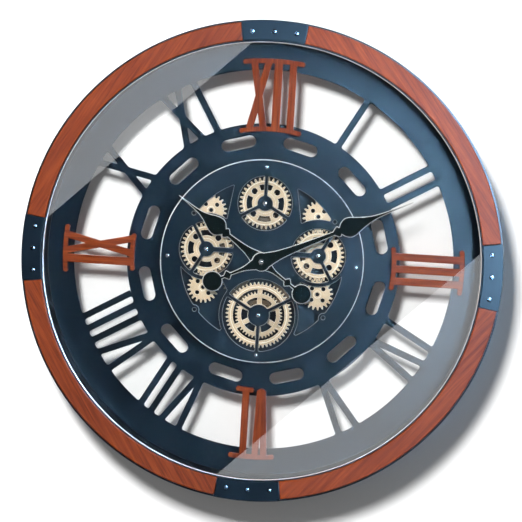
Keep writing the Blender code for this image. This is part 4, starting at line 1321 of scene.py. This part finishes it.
def make_camera():
    """A long lens slightly to the right of and above the axis, turned so that the clock leans."""
    data = bpy.data.cameras.new("camera")
    data.sensor_width = SENSOR
    data.lens = SENSOR * DISTANCE / VIEW_WIDTH
    data.clip_end = 50
    target = Vector((0.0, CENTER_DEPTH, CENTER_HEIGHT))
    direction = Vector((
        math.sin(AZIMUTH) * math.cos(ELEVATION),
        -math.cos(AZIMUTH) * math.cos(ELEVATION),
        math.sin(ELEVATION),
    ))
    obj = bpy.data.objects.new("camera", data)
    obj.location = target + direction * DISTANCE
    turn = (-direction).to_track_quat("-Z", "Y").to_matrix() @ Matrix.Rotation(ROLL, 3, "Z")
    obj.rotation_euler = turn.to_euler()
    bpy.context.scene.collection.objects.link(obj)
    bpy.context.scene.camera = obj
    return obj


def glow_card(name, corners, color, strength, mirrored_strength):
    """A bright card for gloss only, with its own strength where the glass mirrors it."""
    made = Shader(name)
    made.tree.nodes.remove(made.shader)
    mirrored = made.node("ShaderNodeLightPath").outputs["Is Singular Ray"]
    brightness = made.spread(mirrored, strength, mirrored_strength, 0.0, 1.0)
    glow = made.node("ShaderNodeEmission", Color=(*color, 1.0), Strength=brightness).outputs[0]
    card = staged_face(name, corners, made.surface(glow))
    hide_from(card, "camera", "diffuse", "shadow", "transmission")


def glare_card(name, corners, eye, strength):
    """A bright card that only the glass mirrors, placed so that it shows at these glass points."""
    glass_front = span("glass_lens")[0]
    image = Vector((eye.x, 2 * glass_front - eye.y, eye.z))
    rays = [Vector((x, glass_front, z)) - image for x, z in corners]
    points = [image + ray * ((GLARE_DEPTH - image.y) / ray.y) for ray in rays]
    glow_card(name, points, (0.95, 0.975, 1.0), 0.0, strength)


def side_card(name, place, width, height, color, strength):
    """A bright card turned to the clock that gives gloss on the metal and no image in the glass."""
    turn = (-Vector(place)).to_track_quat("-Z", "Y")
    corners = [(-width, -height), (width, -height), (width, height), (-width, height)]
    points = [Vector(place) + turn @ Vector((x / 2, z / 2, 0)) for x, z in corners]
    glow_card(name, points, color, strength, 0.0)


def make_lights(eye):
    """The lights, the cards for gloss and the two cards that the glass mirrors to the camera."""
    hide_from(area_light("key", (-0.62, -2.5, 1.45), 0.60, 152), "glossy")
    side_card("cool_side", (0.90, -2.3, 0.45), 0.7, 0.9, (0.34, 0.64, 1.0), 103)
    side_card("glint", (-1.2, -2.5, 1.1), 0.3, 0.3, (1.0, 1.0, 1.0), 8.8)
    hide_from(area_light("fill", (0.0, -3.6, -0.6), 2.0, 3), "glossy")
    area_light("rear", (-1.2, 2.6, 1.6), 1.4, 110)
    area_light("rear_low", (1.6, 2.2, 0.2), 1.2, 50, (0.85, 0.92, 1.0))
    area_light("side_right", (2.4, 0.5, 0.7), 1.0, 60, target=(0.3, 0, 0))
    area_light("side_left", (-2.4, 0.5, 0.7), 1.0, 60, target=(-0.3, 0, 0))
    area_light("overhead", (0, 0.5, 2.6), 1.0, 60, target=(0, 0, 0.3))
    for name, strength, corners in (
        ("glare_upper", 1.55, [(-0.297, 0.013), (-0.006, 0.291), (-0.20, 0.50), (-0.50, 0.25)]),
        ("glare_lower", 1.45, [(-0.050, -0.279), (0.281, 0.038), (0.50, -0.25), (0.20, -0.50)]),
    ):
        glare_card(name, corners, eye, strength)


def make_world():
    """A grey surround, dark where gloss sees it and pale where the camera does."""
    world = bpy.data.worlds.new("studio")
    world.use_nodes = True
    made = Nodes(world.node_tree)
    path = made.node("ShaderNodeLightPath")
    grey, dark, pale = (0.19, 0.19, 0.19, 1.0), (0.012, 0.014, 0.018, 1.0), (0.72, 0.73, 0.74, 1.0)
    sheen = made.mix("RGBA", path.outputs["Is Glossy Ray"], grey, dark)
    seen = made.mix("RGBA", path.outputs["Is Camera Ray"], sheen, pale)
    made.set(made.tree.nodes["Background"], "Color", seen)
    bpy.context.scene.world = world
    bpy.context.scene.view_settings.view_transform = "Standard"


make_hoop()
make_ring_trim()
make_glass()
make_dial()
make_applied_numerals()
make_cover()
make_tray()
make_screws()
make_large_wheels()
make_bottom_gears()
make_small_gears()
make_driving_gears()
make_hands()
make_back()
make_wall_and_floor()
make_lights(make_camera().location.copy())
make_world()
